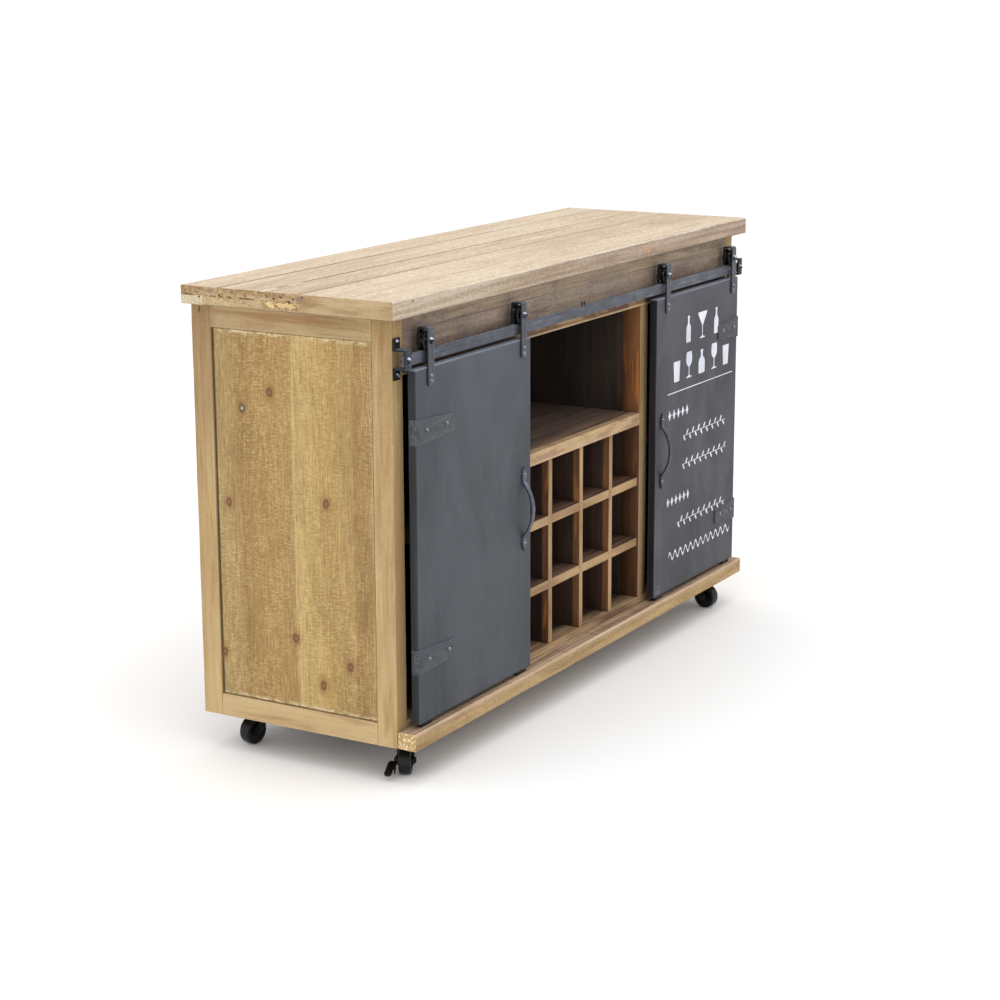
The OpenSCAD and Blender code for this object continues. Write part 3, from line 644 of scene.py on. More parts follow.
def panel_wood(name, side, knots):
    """Vertical tonal bands across the two boards, fine saw marks, a few small knots."""
    s = Wood(name, ring=0.006, wander=0.045, knots=knots)
    y, z = s.axes()[1:]
    low, high = corners(side)
    drift = s.noise((1, 1, 3.5), 3, 0.6)
    across = s.math("DIVIDE", s.minus(high[1], y), high[1] - low[1])
    across = s.plus(across, s.wobble(drift, 0.035))
    bands = s.ramp(across, [(0, 170, 147, 102), (0.12, 168, 141, 96), (0.17, 150, 120, 76),
                            (0.33, 160, 128, 80), (0.49, 164, 133, 86), (0.505, 196, 172, 118),
                            (0.56, 192, 165, 110), (0.72, 178, 148, 94), (0.86, 176, 148, 98),
                            (0.885, 158, 126, 80), (0.975, 162, 132, 88), (1, 184, 160, 118)])
    figure = s.blend((255, 250, 240), (150, 130, 96), rings=0.14, streaks=0.4, blotch=1.0,
                     broad=0.7, saw=0.55)
    s.color = s.mix(0.62, bands, figure, "MULTIPLY")
    s.over(0.3, bands)
    # a woven look: short pale dashes across the grain, darker threads along it
    zone = s.noise((1, 16, 7), 3, 0.6)
    dash = s.noise((1, 115, 540), 3, 0.7)
    pale = s.times(s.span(dash, 0.49, 0.6), s.span(zone, 0.34, 0.62, 0.25, 1))
    s.over(s.times(pale, 0.38), 222, 198, 138)
    s.over(s.span(dash, 0.47, 0.36, 0, 0.3), 134, 100, 52)
    thread = s.noise((1, 430, 26), 4, 0.72)
    s.tints(thread, (0.5, 0.62, 0.38, 128, 98, 58), (0.48, 0.36, 0.26, 218, 194, 138))
    # a pale chalky rim along the top and bottom, worn, and along the top also a painted highlight;
    # painted shade in the gap at the rear, fainter painted shade in front and below
    rim = s.most(s.beside(z, high[2], -10, -2), s.beside(z, low[2], 10, 2))
    chalky = s.noise((1, 70, 150), 4, 0.75, offset=(0, 4, 2))
    rim = s.times(rim, s.span(chalky, 0.42, 0.6))
    s.over(s.times(rim, 0.75), 220, 208, 168)
    rear = s.beside(y, high[1], -4.2, -2.2)
    s.over(s.times(rear, 0.85), 50, 34, 26)
    front = s.most(s.beside(y, low[1], 3, 1), s.beside(z, low[2], 3, 1.2))
    s.over(s.times(front, 0.6), 96, 68, 48)
    specks = s.cells(30, (1, 1, 1.4))
    specks = s.times(s.span(specks, 0.045, 0.025), s.span(drift, 0.5, 0.62))
    s.over(s.times(specks, 0.7), 230, 226, 206)
    s.over(s.times(s.halo, 0.5), 140, 102, 62)
    away = s.plus(s.knot_away, s.wobble(dash, 0.004))
    core = s.between(s.span(away, 0.0006, 0.0048), (142, 98, 68), (102, 62, 46))
    s.over(s.span(away, 0.0042, 0.0084, 0.85, 0), core)
    eye = s.near(knots[1:2], KNOT_STRETCH)
    grey = s.between(s.span(eye, 0.001, 0.0026), (226, 216, 190), (106, 92, 72))
    s.over(s.span(eye, 0.004, 0.0075, 0.8, 0), grey)
    return s.wood((0.6, 0.85), (0.15, 0.35, 1), 0.4, 0.0005, 0.25)


def header_wood():
    s = Wood("header_stain", ring=0.005, wander=0.03)
    x, _, z = s.axes()
    low, high = corners("header_board")
    s.color = s.blend((148, 130, 115), (101, 85, 78), rings=0.15, streaks=0.8, saw=0.35)
    upper = s.beside(z, high[2], -30, -24)
    s.over(s.times(upper, 0.4), s.streaked((168, 152, 118), (124, 108, 84), 0.36, 0.62))
    seam = s.span(s.size(s.minus(z, high[2] - 0.027)), 0.0005, 0.0018, 1, 0)
    s.over(s.times(seam, s.span(s.broad, 0.4, 0.55, 0.2, 0.6)), 78, 60, 50)
    tone = s.noise((13, 1, 26), 3, 0.6, 0.4)
    s.over(s.span(tone, 0.5, 0.66, 0, 0.55), 112, 90, 88)
    green = s.noise((7, 1, 15), 3, 0.6, offset=(5, 0, 2))
    s.over(s.span(green, 0.5, 0.66, 0, 0.3), 146, 134, 104)
    pale = s.noise((9, 1, 30), 3, 0.6, offset=(1, 0, 9))
    s.over(s.span(pale, 0.56, 0.7, 0, 0.4), 176, 160, 136)
    grit = s.noise((120, 1, 360), 4, 0.75)
    s.tints(grit, (0.5, 0.66, 0.5, 84, 68, 60), (0.46, 0.34, 0.35, 176, 158, 132))
    tan = s.beside(z, low[2], 31, 24)
    gold = s.streaked((176, 146, 104), (118, 88, 58))
    gold = s.mix(s.span(tone, 0.42, 0.6), gold, linear(96, 66, 44))
    # painted shadow: the gold strip turns dark behind the doors, under the track
    behind = s.span(s.size(x), 0.25, 0.268)
    gold = s.mix(behind, gold, linear(64, 46, 38))
    s.over(tan, gold)
    lip = s.times(s.beside(z, low[2], 5.5, 1.5), s.span(s.blotch, 0.36, 0.52))
    s.over(s.times(lip, 0.7), 202, 178, 138)
    return s.wood((0.55, 0.8), (0.2, 0.5, 0.4), 0.3, 0.0005, 0.28)


def inner_wood():
    s = Wood("brown_inside", ring=0.0055, wander=0.035)
    y = s.axes()[1]
    s.color = s.blend((114, 95, 85), (62, 51, 46), rings=0.12, streaks=0.5, blotch=0.7, saw=0.2)
    # painted light: paler near the front, darker further in
    front = s.plus(y, s.wobble(s.blotch, 0.09))
    light = s.beside(front, FACE_Y, 75, 12)
    s.over(s.times(light, 0.55), s.streaked((150, 118, 88), (74, 52, 38)))
    line = s.noise((2, 160, 1), 3, 0.7)
    s.over(s.times(s.span(line, 0.52, 0.66), 0.5), 34, 25, 21)
    return s.wood((0.5, 0.72), (0.2, 0.4, 0.3), 0.25, 0.0005, 0.35)


def floor_wood():
    s = Wood("tan_floor", ring=0.005, wander=0.03)
    y = s.axes()[1]
    s.color = s.blend((190, 160, 122), (124, 94, 68), rings=0.12, streaks=0.9, blotch=0.7,
                      broad=0.4, saw=0.3)
    line = s.noise((2, 260, 1), 3, 0.75)
    s.over(s.times(s.span(line, 0.5, 0.62), 0.7), 86, 62, 46)
    # painted shade: the floor turns dark further in
    inside = s.plus(y, s.wobble(s.blotch, 0.03))
    dark = s.beside(inside, FACE_Y, 4, 50)
    s.over(dark, s.streaked((92, 70, 56), (44, 32, 27)))
    return s.wood((0.55, 0.78), (0.2, 0.4, 0.4), 0.3, 0.0005, 0.3)


def post_wood():
    """The posts beside the opening: pale on the front, amber and glossy on the inner face, with
    painted glints and painted shade.
    """
    s = Wood("amber_posts", ring=0.0045, wander=0.02)
    s.color = s.blend((136, 90, 54), (70, 40, 23), rings=0.15, streaks=0.8, blotch=0.9)
    # painted highlight: bright orange glints on the amber
    painted_glints = s.times(s.span(s.blotch, 0.52, 0.64), s.span(s.streaks, 0.45, 0.6))
    s.over(s.times(painted_glints, 0.6), 206, 128, 56)
    y, z = s.axes()[1:]
    lip_low, lip_high = (c[2] for c in corners("shelf_lip"))
    # painted shade: darker below the shelf lip, and further in from the front
    low_down = s.span(z, lip_high + 0.01, lip_low - 0.02)
    s.over(s.times(low_down, 0.62), 46, 32, 24)
    s.over(s.beside(y, FACE_Y, 12, 36, 0, 0.5), 62, 38, 24)
    edge = s.blend((160, 136, 98), (112, 86, 54), broad=0.4)
    # painted shade: the front edge turns dark above the door tops
    edge = s.mix(s.beside(z, DOOR_TOP, -12, -4), edge, linear(60, 44, 36))
    s.over(s.span(s.front(), 0.4, 0.8), edge)
    return s.wood((0.36, 0.58), (0.2, 0.4, 0.2), 0.25, 0.0005, 0.45)


def rack_wood():
    """Rack boards: tan front edges, a strip of brown behind them, then very dark further back."""
    s = Wood("rack_fir", ring=0.005, wander=0.03)
    y = s.axes()[1]
    s.color = s.blend((122, 84, 52), (62, 38, 24), streaks=0.7, blotch=0.9, saw=0.15)
    # painted highlight: bright orange glints on the brown
    painted_glints = s.times(s.span(s.blotch, 0.5, 0.62), s.span(s.streaks, 0.45, 0.6))
    s.over(s.times(painted_glints, 0.6), 196, 128, 62)
    deep = s.blend((64, 44, 34), (28, 20, 17), broad=0.4)
    flat = s.span(s.normal(2), 0.5, 0.9, 0, 1, smooth=False)
    s.over(s.beside(y, FACE_Y, 16.5, 19.5), deep)
    # upper faces: a duller brown that turns dark further in, painted shade inside the cubbies
    dull = s.streaked((112, 84, 64), (58, 42, 36))
    dull = s.mix(s.beside(y, FACE_Y, 12, 70), dull, deep)
    s.over(flat, dull)
    edge = s.blend((182, 150, 110), (128, 96, 64), streaks=0.8, blotch=0.9, broad=0.4, saw=0.2)
    grit = s.noise((260, 1, 260), 4, 0.7)
    edge = s.mix(s.span(grit, 0.54, 0.68, 0, 0.5), edge, linear(104, 72, 46))
    s.over(s.span(s.front(), 0.4, 0.8), edge)
    return s.wood((0.5, 0.72), (0.2, 0.4, 0.2), 0.25, 0.0005, 0.3)


def lip_wood():
    s = Wood("lip_fir", ring=0.005, wander=0.03)
    s.color = s.blend((192, 162, 120), (136, 104, 72), streaks=0.9, blotch=0.9, saw=0.3)
    pink = s.noise((12, 1, 70), 4, 0.65)
    s.over(s.span(pink, 0.48, 0.62, 0, 0.6), 134, 98, 80)
    worn = s.times(s.attribute("wear"), s.span(s.streaks, 0.36, 0.58))
    s.over(s.times(worn, 0.45), 222, 200, 170)
    return s.wood((0.55, 0.78), (0.2, 0.4, 0.4), 0.3, 0.0005, 0.3)


def back_wood():
    s = Wood("dark_back", ring=0.006, wander=0.03)
    s.color = s.blend((60, 50, 43), (33, 27, 24), blotch=0.7)
    return s.wood((0.6, 0.8), (0.2, 0.4), 0.2, 0.0004, 0.25)


def rear_wood():
    """The outside of the back panel is plain brown; its inside is nearly black."""
    s = Wood("back_board", ring=0.006, wander=0.04)
    inside = s.blend((60, 50, 43), (33, 27, 24), blotch=0.7)
    outside = s.blend((150, 122, 84), (104, 78, 50), rings=0.4, streaks=0.5, blotch=0.6, broad=0.6,
                      saw=0.2)
    s.color = s.mix(s.above(s.normal(1), 0.3), inside, outside)
    return s.wood((0.6, 0.8), (0.2, 0.4), 0.25, 0.0004, 0.25)


def plinth_wood():
    s = Wood("plinth_fir", ring=0.005, wander=0.02)
    y, z = s.axes()[1:]
    s.color = s.blend((184, 156, 112), (138, 108, 68), rings=0.12, streaks=0.7, broad=0.4,
                      saw=0.35)
    top = s.beside(z, PLINTH_TOP, -10, -4)
    pink = s.blend((196, 168, 140), (150, 116, 94), streaks=0.9, blotch=0.5, broad=0.4)
    s.over(s.times(top, 0.8), pink)
    flat = s.span(s.normal(2), 0.6, 0.9)
    line = s.noise((3, 230, 1), 3, 0.75)
    tread = s.between(s.span(line, 0.36, 0.62), (208, 180, 150), (116, 90, 72))
    # painted shade: a dark line along the back of the top face, where it meets the part behind
    tread = s.mix(s.beside(y, corners("plinth_rail")[1][1], -3, -1), tread, linear(56, 40, 32))
    tread = s.mix(s.span(line, 0.62, 0.72, 0, 0.8), tread, linear(222, 204, 178))
    s.over(s.times(flat, 0.85), tread)
    grit = s.noise((110, 1, 300), 4, 0.75)
    s.tints(grit, (0.5, 0.66, 0.4, 122, 92, 62), (0.46, 0.34, 0.3, 214, 190, 152))
    crest = s.times(s.beside(z, PLINTH_TOP, -4.5, -2.5), s.beside(y, PLINTH_Y, 3.5, 1.5))
    s.over(s.times(crest, s.span(s.streaks, 0.42, 0.58, 0.1, 0.6)), 228, 210, 184)
    end = s.above(s.size(s.normal(0)), 0.6)
    chips = s.noise((1, 230, 230), 4, 0.75)
    rough_end = s.between(s.span(chips, 0.42, 0.6), (172, 138, 88), (206, 180, 128))
    rough_end = s.mix(s.span(chips, 0.56, 0.62), rough_end, linear(246, 242, 232))
    s.over(end, rough_end)
    return s.wood((0.58, 0.8), (0.2, 0.5, 0.4), 0.35, 0.0005, 0.25)


# ---------------------------------------------------------------- paint, iron, plastic

def door_paint(name, pale, dark, side_share, scar, scar_share):
    """Brushed slate paint: soft clouds, fine upright strokes, scuffs; painted light towards the
    top and on the top edge, painted shade on the narrow sides and along the foot.
    """
    s = Shader(name)
    z = s.axes()[2]
    brush = s.noise((420, 60, 5), 3, 0.6)
    cloud = s.noise((7, 7, 3.6), 4, 0.6, 0.3)
    fine = s.noise((260, 260, 190), 3, 0.7)
    s.color = s.between(s.span(cloud, 0.3, 0.7), pale, dark)
    s.over(s.span(brush, 0.45, 0.75, 0, 0.3), shade(pale, 1.3))
    s.over(s.span(fine, 0.45, 0.7, 0, 0.35), shade(dark, 0.75))
    scuff = s.noise((30, 30, 160), 4, 0.75, 0.8)
    where = s.noise((5, 5, 5), 2, offset=(3, 1, 7))
    scuff = s.times(s.span(scuff, 0.66, 0.74), s.span(where, 0.52, 0.66))
    s.over(s.times(scuff, 0.4), shade(pale, 3))
    rub = s.span(s.near([scar], (0.45, 0, 1)), 0.004, 0.018, 1, 0)
    rub = s.times(rub, s.span(s.noise((110, 1, 260), 3, 0.7), 0.5, 0.6))
    s.over(s.times(rub, scar_share), shade(pale, 3.4))
    # painted light: paler towards the top of the door
    s.over(s.span(z, DOOR_TOP - 0.22, DOOR_TOP, 0, 0.3, smooth=False), shade(pale, 1.5))
    # painted shade: the narrow sides near-black, a little darker lower down
    narrow = s.span(s.size(s.normal(0)), 0.5, 0.85)
    side = s.span(z, DOOR_TOP, DOOR_TOP - 0.3, side_share * 0.95, side_share * 1.06)
    s.over(s.times(narrow, side), 14, 15, 17)
    # painted highlight on the top faces
    top = s.times(s.span(s.normal(2), 0.35, 0.8), s.span(brush, 0.3, 0.6, 0.4, 1))
    s.over(s.times(top, 0.85), shade(pale, 4.5))
    # a pale line along the top edge: wear, and also a painted highlight
    crest = s.times(s.beside(z, DOOR_TOP, -3.4, -1.4), s.span(cloud, 0.3, 0.55, 0.35, 0.8))
    s.over(crest, shade(pale, 4.6))
    # painted shade along the foot of the door
    foot = s.beside(z, DOOR_L[0][2], 5, 2, 0, 0.6)
    s.over(foot, shade(pale, 0.3))
    edge = s.times(s.attribute("wear"), s.span(brush, 0.35, 0.6, 0.15, 1))
    s.over(s.times(edge, 0.3), shade(pale, 1.9))
    rough = s.span(cloud, 0.3, 0.7, 0.44, 0.58)
    height = s.plus(s.times(brush, 0.35), s.times(cloud, 2.5))
    return s.done(rough, height, 0.12, 0.0008, specular=0.4)


def chalk_paint():
    """The pale ornament, worn thin in places."""
    s = Shader("chalk_ornament")
    worn = s.noise((240, 1, 240), 4, 0.75)
    thin = s.noise((14, 1, 14), 2)
    s.color = s.between(s.span(thin, 0.3, 0.7), (232, 233, 240), (206, 208, 220))
    s.over(s.span(worn, 0.6, 0.7, 0, 0.7), 120, 120, 128)
    return s.done(s.span(worn, 0.3, 0.7, 0.6, 0.8), worn, 0.1, 0.0002, specular=0.3)


def iron(name, base, fleck_and_glint, rough=(0.35, 0.6), flecks=0.4, specular=0.5, side=0, top=0,
         black_beyond=None, brushed=170):
    """Forged iron: mottled and pitted, with painted light on its top faces and painted shade on
    its narrow sides; its flecks are partly painted glints.

    With black_beyond it turns black at its foot against the frame, and past that X everywhere.
    """
    s = Shader(name)
    mottle = s.noise((brushed, 170, 170), 4, 0.65)
    pit = s.cells(420)
    cloud = s.noise((26, 26, 26), 3, 0.6)
    s.color = s.mix(s.span(cloud, 0.35, 0.65), shade(base, 1), shade(base, 0.62))
    # pale flecks: mottling, and on the black bolts painted glints
    s.over(s.span(mottle, 0.54, 0.7, 0, flecks), *fleck_and_glint)
    if black_beyond:
        x, y = s.axes()[:2]
        s.over(s.beside(y, FACE_Y, -5.5, -3.5), 11, 12, 15)
        s.over(s.span(x, black_beyond, black_beyond + 0.01, 0, 0.8), 18, 19, 22)
    # painted shade on the narrow sides
    if side:
        narrow = s.span(s.size(s.normal(0)), 0.5, 0.85)
        s.over(s.times(narrow, side), 14, 15, 17)
    # painted light on the top faces
    if top:
        lit = s.times(s.span(s.normal(2), 0.3, 0.8), s.span(mottle, 0.3, 0.6, 0.4, 1))
        s.over(s.times(lit, top), shade(fleck_and_glint, 1.5))
    height = s.plus(mottle, s.times(pit, 0.5))
    return s.done(s.span(mottle, 0.3, 0.7, rough[1], rough[0]), height, 0.3, 0.0004,
                  specular=specular)


def hinge_iron(name, pale):
    """Hinge plates in the door's paint, rubbed pale where they fold round its edge."""
    s = Shader(name)
    mottle = s.noise((150, 150, 150), 4, 0.65)
    cloud = s.noise((24, 24, 24), 3, 0.6)
    s.color = s.mix(s.span(cloud, 0.35, 0.65), shade(pale, 1), shade(pale, 0.82))
    s.over(s.span(mottle, 0.52, 0.7, 0, 0.14), shade(pale, 1.8))
    outer = s.size(s.axes()[0])
    fold = s.beside(outer, SIDE_X, -52, -44)
    fold = s.times(fold, s.span(mottle, 0.44, 0.6, 0.1, 1))
    turned = s.span(s.size(s.normal(0)), 0.25, 0.6)
    s.over(s.times(fold, turned, 0.1), 176, 178, 184)
    # painted highlight on the top faces
    s.over(s.times(s.span(s.normal(2), 0.3, 0.8), 0.85), shade(pale, 4.5))
    return s.done(s.span(mottle, 0.3, 0.7, 0.55, 0.38), mottle, 0.25, 0.0004, specular=0.45)


def black_gloss(name, rough=0.2):
    """Black plastic with a few small glints and a trace of dust."""
    s = Shader(name)
    dust = s.noise((60, 60, 60), 3, 0.6)
    s.color = s.between(s.span(dust, 0.45, 0.8, 0, 0.16), (6, 6, 7), (58, 60, 64))
    glint = s.noise((190, 190, 150), 2, 0.6)
    s.over(s.span(glint, 0.635, 0.67, 0, 0.8), 150, 156, 168)
    return s.done(s.span(dust, 0.3, 0.75, rough, rough + 0.16), dust, 0.06, 0.0003, specular=0.25)


def rubber(name):
    """Black wheel rubber with a painted cool sheen, and a little dust on its tread."""
    s = Shader(name)
    dust = s.noise((110, 110, 110), 4, 0.6)
    moulded = s.cells(900)
    # the bluish mix is dust, and also a painted sheen
    s.color = s.between(s.span(dust, 0.5, 0.8, 0, 0.3), (8, 9, 12), (46, 52, 62))
    height = s.plus(dust, s.times(moulded, 0.3))
    return s.done(s.span(dust, 0.3, 0.75, 0.26, 0.44), height, 0.1, 0.0003, specular=0.28)


# ---------------------------------------------------------------- the pieces

TOP, FRAME, INNER, RACK = top_wood(), frame_wood(), inner_wood(), rack_wood()
PAINTS = {
    "left": door_paint("slate_paint_left", (62, 66, 74), (51, 55, 61), 0.8,
                       (DOOR_L[1][0] - 0.05, DOOR_L[0][1], DOOR_TOP - 0.2), 0.15),
    "right": door_paint("slate_paint_right", (62, 63, 71), (49, 49, 56), 0.92,
                        (DOOR_R[0][0] + 0.012, DOOR_R[0][1], DOOR_R[0][2] + 0.014), 0.75)}
HINGES = {"left": hinge_iron("hinge_iron_left", (56, 60, 68)),
          "right": hinge_iron("hinge_iron_right", (55, 56, 62))}
# the left handle is painted paler and bluer, standing in for a highlight; the right one is darker
HANDLES = {"left": iron("handle_iron_left", (60, 67, 82), (134, 146, 170), (0.26, 0.42),
                        side=0.2, top=0.4),
           "right": iron("handle_iron_right", (40, 43, 50), (96, 102, 116), (0.3, 0.46),
                         specular=0.35, side=0.3, top=0.4)}
STRAP_IRON = iron("strap_iron", (66, 70, 80), (104, 110, 124), side=0.85, top=0.3)
BOLT_IRON = iron("bolt_iron", (94, 99, 110), (180, 183, 190), (0.22, 0.42), top=0.6)
# the black bolts' pale flecks and tops are painted glints
BLACK_BOLT = iron("black_bolt_iron", (13, 14, 17), (190, 194, 204), (0.15, 0.35), flecks=0.85,
                  specular=0.25, top=0.9)
CASTER_STEEL = iron("caster_steel", (11, 12, 15), (58, 66, 80), (0.2, 0.36), flecks=0.3,
                    specular=0.3)
ROLLER_BLACK, GLIDE_BLACK = black_gloss("roller_black"), black_gloss("glide_black", 0.5)
WHEEL_RUBBER = rubber("wheel_rubber")
# where the knots are on the side panels: Y and Z
KNOTS = {"left": [(0.0715, 0.664), (0.1305, 0.631), (0.1645, 0.461), (-0.0405, 0.481),
                  (0.0285, 0.232), (0.1835, 0.185), (-0.0845, 0.197), (-0.0275, 0.155)],
         "right": [(-0.05, 0.60), (0.12, 0.52), (0.16, 0.30), (-0.09, 0.35), (0.04, 0.19)]}

# planks sit flush on the cleats below; where two planks meet, the rounding is narrow
for number in range(1, 6):
    meet_front = (1, 0, 0.0 if number == 2 else 0.3 if number > 2 else 1)
    meet_back = (1, 1, 0.0 if number == 1 else 0.3 if number < 5 else 1)
    boards(f"top_plank_{number}", 0, TOP, radius=0.0022, ragged=0.9, step=0.012,
           soft=((2, 0, 0), meet_front, meet_back))
cleat_ways = [1 if hi[1] - lo[1] > hi[0] - lo[0] else 0 for lo, hi in solid_boxes("top_cleats")]
boards("top_cleats", cleat_ways, TOP, radius=0.0012, ragged=0.8, step=0.02, soft=((2, 1, 0),))
for side in ("left", "right"):
    boards(f"{side}_stiles", 2, FRAME, 0.002, ragged=0.7)
boards("side_rails", 1, frame_wood("honey_rails", (178, 154, 116), (144, 118, 80)), 0.0012,
       ragged=0.7)
for side, low_high in (("left", 0), ("right", 1)):
    panel = f"{side}_side_panel"
    outside = corners(panel)[low_high][0]
    places = [(outside, y, z) for y, z in KNOTS[side]]
    boards(panel, 2, panel_wood(f"panel_{side}", panel, places))
boards("header_board", 0, header_wood(), 0.0015)
boards("back_panel", 2, rear_wood(), 0.0005)
boards("floor_board", 0, floor_wood(), 0.001)
carved("base_rails", INNER, 0.0006, axis=0)
boards("plinth_rail", 0, plinth_wood(), 0.0035)
carved("partition_stiles", post_wood(), 0.0008, axis=2)
carved("partition_panels", back_wood(), 0.0006, axis=2)
boards("centre_shelf", 0, INNER)
boards("shelf_lip", 0, lip_wood(), 0.0015)
carved("rack_dividers", RACK, 0.0008, axis=2)
carved("rack_shelves", RACK, 0.0008, axis=0)
boards("bay_shelves", 0, INNER)

carved("track_bar", iron("track_iron", (71, 75, 87), (108, 114, 130), top=0.6, brushed=26), 0.0006)
# the right bracket is blacker than the left one
carved("track_brackets", iron("bracket_iron", (56, 60, 70), (112, 118, 132), side=0.8, top=0.4,
                              black_beyond=0.6, specular=0.22), 0.0007)
carved("track_fasteners", BLACK_BOLT, 0.0003, heads=(0.0024, 1.7))
carved("track_stop_pins", iron("pin_iron", (44, 46, 50), (120, 122, 128), (0.25, 0.42)), 0.0003)
carved("caster_plates", CASTER_STEEL, 0.0004)
carved("caster_screws", BOLT_IRON, 0)
for side in ("left", "right"):
    boards(f"{side}_door", 2, PAINTS[side], 0.0016, ragged=0.3)
    carved(f"{side}_hinge_plates", HINGES[side], 0.0005)
    carved(f"{side}_handle", HANDLES[side], 0.0009, segments=3)
    carved(f"{side}_hangers", STRAP_IRON, 0.0007)
    carved(f"{side}_roller_bolts", BLACK_BOLT, 0.0003, heads=(0.0034, 1.8))
    carved(f"{side}_door_screws", BOLT_IRON, 0, heads=(0.0021, 1.35))
    carved(f"{side}_door_glides", GLIDE_BLACK, 0.0008)
for which in ("left_outer", "left_inner", "right_inner", "right_outer"):
    carved(f"{which}_roller", ROLLER_BLACK, 0.0004)
for which in ("front_left", "front_right", "rear_left", "rear_right"):
    carved(f"{which}_fork", CASTER_STEEL, 0.0005)
    carved(f"{which}_axle", CASTER_STEEL, 0.0003)
    carved(f"{which}_wheel", WHEEL_RUBBER, 0.0004)
carved("front_left_brake", CASTER_STEEL, 0.0005)


# ---------------------------------------------------------------- the right door's ornament

PAINT_PROUD = 0.12 * MM          # outlines below are X and Z in millimetres


def turned(profile):
    """Outline of a shape that is the same left and right, from (half width, height) pairs."""
    return [(w, h) for w, h in profile] + [(-w, h) for w, h in reversed(profile)]


def ellipse(cx, cz, rx, rz, count, lean=0):
    """Outline of an ellipse, leaning by an angle."""
    out = []
    for k in range(count):
        a = 2 * math.pi * k / count
        u, v = rx * math.cos(a), rz * math.sin(a)
        out.append((cx + u * math.cos(lean) - v * math.sin(lean),
                    cz + u * math.sin(lean) + v * math.cos(lean)))
    return out


BOTTLE = turned([(9.5, 0), (10.5, 1.5), (10.5, 29), (9, 33), (4.5, 38), (3.6, 41), (3.6, 50),
                 (4.6, 50.5), (4.6, 55)])
FLASK = turned([(13, 0), (15, 2), (15, 24), (12, 31), (5, 35), (4.6, 44), (6, 44.5), (6, 50)])
COUPE = turned([(12, 0), (12, 2), (2.2, 4.5), (1.5, 8), (1.5, 26), (4, 29), (20, 50), (22, 55)])
GOBLET = turned([(12, 0), (12, 2), (2.2, 4.5), (1.6, 8), (1.6, 22), (7, 25), (12.5, 31), (14, 38),
                 (13.5, 46), (11.5, 54)])
TUMBLER = turned([(11, 0), (12, 1), (15.5, 42)])
VESSELS = ((BOTTLE, 405, 616), (COUPE, 472, 616), (BOTTLE, 540, 616), (TUMBLER, 352, 542),
           (GOBLET, 410, 542), (FLASK, 471, 542), (GOBLET, 532, 542), (TUMBLER, 590, 542))


def centres(x0, x1, pitch):
    """The middles of equal steps of about that length."""
    count = int((x1 - x0) / pitch)
    return [x0 + (x1 - x0) * (k + 0.5) / count for k in range(count)]


def leaf_row(x0, x1, z0, z1):
    """A sprig: leaves leaning up and down by turns on a thin stem."""
    mid, high = (z0 + z1) / 2, z1 - z0
    out = [[(x0, mid - 0.7), (x1, mid - 0.7), (x1, mid + 0.7), (x0, mid + 0.7)]]
    for k, x in enumerate(centres(x0, x1, high * 0.62)):
        up = 1 if k % 2 else -1
        out.append(ellipse(x, mid + up * high * 0.27, high * 0.32, high * 0.13, 14,
                           up * math.radians(52)))
    return out


def bead_row(x0, x1, z0, z1):
    """Lozenges with a small bead between each two."""
    mid, high = (z0 + z1) / 2, z1 - z0
    half = high * 0.25
    middles = centres(x0, x1, high * 0.85)
    out = []
    for k, x in enumerate(middles):
        out.append([(x - half, mid), (x, z0), (x + half, mid), (x, z1)])
        if k:
            out.append(ellipse((x + middles[k - 1]) / 2, mid, 1.7, 1.7, 12))
    return out


def wave_row(x0, x1, z0, z1):
    """A narrow ribbon that waves between the two heights."""
    mid, amp = (z0 + z1) / 2, (z1 - z0) / 2 - 2.6
    count = int((x1 - x0) / 2.2)
    turns = round((x1 - x0) / 24)
    out = []
    for k in range(count):
        ends = []
        for m in (k, k + 1):
            x = x0 + (x1 - x0) * m / count
            ends.append((x, mid + amp * math.sin(2 * math.pi * turns * m / count)))
        (xa, za), (xb, zb) = ends
        out.append([(xa, za - 2.6), (xb, zb - 2.6), (xb, zb + 2.6), (xa, za + 2.6)])
    return out


def make_ornament():
    """Plain vessels, a rule, and rows of leaves, beads and a wave, on the right door."""
    shapes = [[(cx + x, cz + z) for x, z in outline] for outline, cx, cz in VESSELS]
    shapes.append([(311, 520.2), (625, 520.2), (625, 522.2), (311, 522.2)])
    shapes += bead_row(311, 414, 465, 487)
    shapes += leaf_row(386, 592, 412, 434)
    shapes += leaf_row(384, 600, 352, 373)
    shapes += bead_row(309, 423, 284, 305)
    shapes += leaf_row(364, 598, 232, 254)
    shapes += wave_row(325, 625, 167, 188)
    bm = bmesh.new()
    y = DOOR_R[0][1] - PAINT_PROUD
    for outline in shapes:
        face = bm.faces.new([bm.verts.new((x * MM, y, z * MM)) for x, z in outline])
        face.normal_update()
        if face.normal.y > 0:
            face.normal_flip()
    bmesh.ops.triangulate(bm, faces=bm.faces)
    mesh = bpy.data.meshes.new("door_ornament")
    bm.to_mesh(mesh)
    bm.free()
    mesh.materials.append(chalk_paint())
    obj = add_to_scene("door_ornament", mesh)
    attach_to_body(obj, BODY_OF["right_door"])


make_ornament()


# ---------------------------------------------------------------- stage

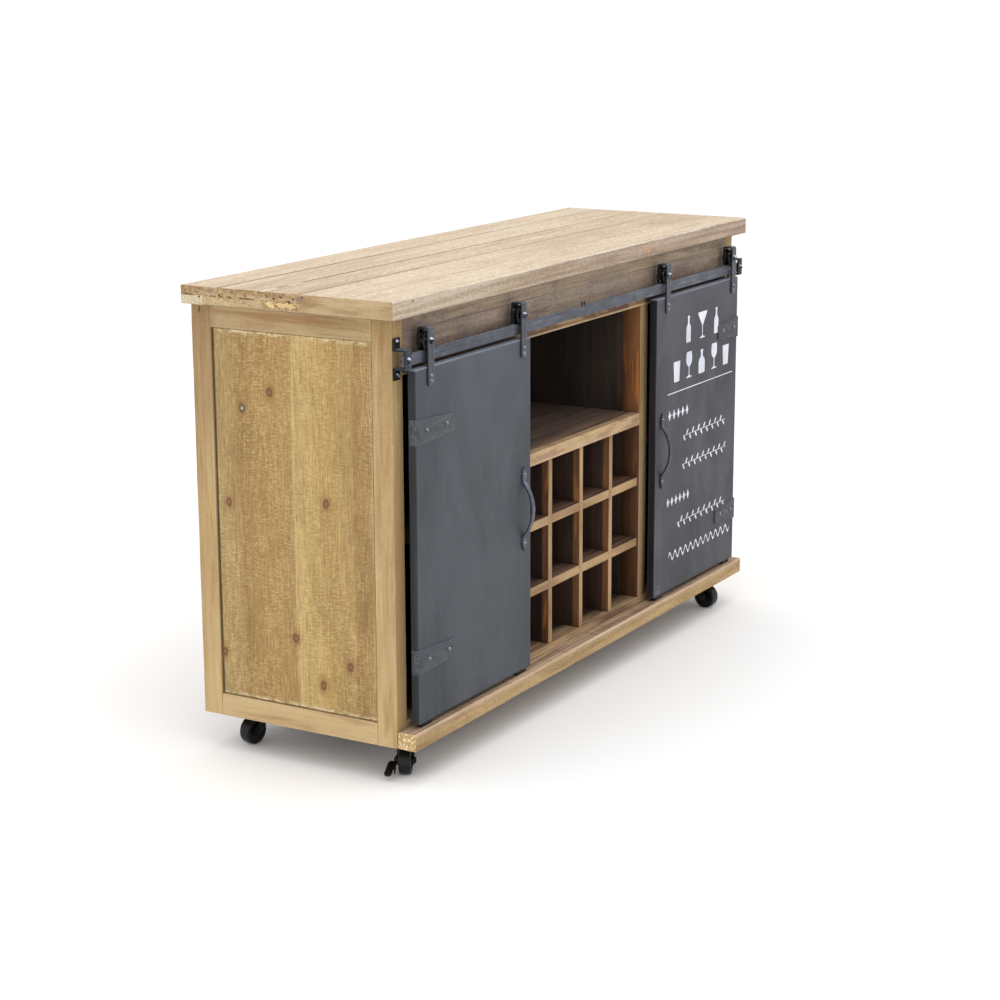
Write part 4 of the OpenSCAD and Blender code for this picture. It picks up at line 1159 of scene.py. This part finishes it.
FLOOR_HALF = 14.0                      # the floor sheet reaches this far each way
AIR = 1.04                             # brightness of the white surroundings
LIGHT_TARGET = (0, 0, 0.4)
LIGHTS = {"overhead": ((-0.4, -0.8, 3.4), (3.6, 3.0), 32),       # place, size, power
          "left_fill": ((-4.2, 0.4, 1.0), (2.4, 1.8), 13)}
# the camera that was fitted to the cabinet's edges in the photo
CAMERA_PLACE = (-3.7448, -2.1652, 1.3803)
CAMERA_TURN, CAMERA_TILT, CAMERA_ROLL = -59.905, 90 - 13.482, -0.196        # degrees
LENS, SENSOR_WIDTH, FAR_CLIP = 81.08, 36.0, 60.0


def make_floor():
    mesh = bpy.data.meshes.new("floor_sheet")
    mesh.from_pydata([(x * FLOOR_HALF, y * FLOOR_HALF, 0)
                      for x, y in ((-1, -1), (1, -1), (1, 1), (-1, 1))], [], [(0, 1, 2, 3)])
    floor = add_to_scene("studio_floor", mesh)
    s = Shader("studio_paper")
    tint = s.noise((0.4, 0.4, 0.4), 2)
    s.color = s.between(tint, (252, 252, 252), (254, 254, 254))
    mesh.materials.append(s.done(0.9, specular=0.05))


def make_lights():
    for name, (place, size, power) in LIGHTS.items():
        data = bpy.data.lights.new(name, "AREA")
        data.shape = "RECTANGLE"
        data.size, data.size_y = size
        data.energy = power
        light = add_to_scene(name, data)
        light.location = place
        way = Vector(LIGHT_TARGET) - Vector(place)
        light.rotation_euler = way.to_track_quat("-Z", "Y").to_euler()
    world = bpy.data.worlds.new("studio_air")
    world.use_nodes = True
    back = world.node_tree.nodes["Background"]
    back.inputs[0].default_value = (1, 1, 1, 1)
    back.inputs[1].default_value = AIR
    bpy.context.scene.world = world


def make_camera():
    data = bpy.data.cameras.new("photo_camera")
    data.lens, data.sensor_width, data.clip_end = LENS, SENSOR_WIDTH, FAR_CLIP
    camera = add_to_scene("photo_camera", data)
    turn, tilt, roll = (Matrix.Rotation(math.radians(angle), 4, axis) for angle, axis in
                        ((CAMERA_TURN, "Z"), (CAMERA_TILT, "X"), (CAMERA_ROLL, "Z")))
    camera.matrix_world = Matrix.Translation(CAMERA_PLACE) @ turn @ tilt @ roll
    bpy.context.scene.camera = camera


make_floor()
make_lights()
make_camera()
bpy.context.scene.view_settings.view_transform = "Standard"
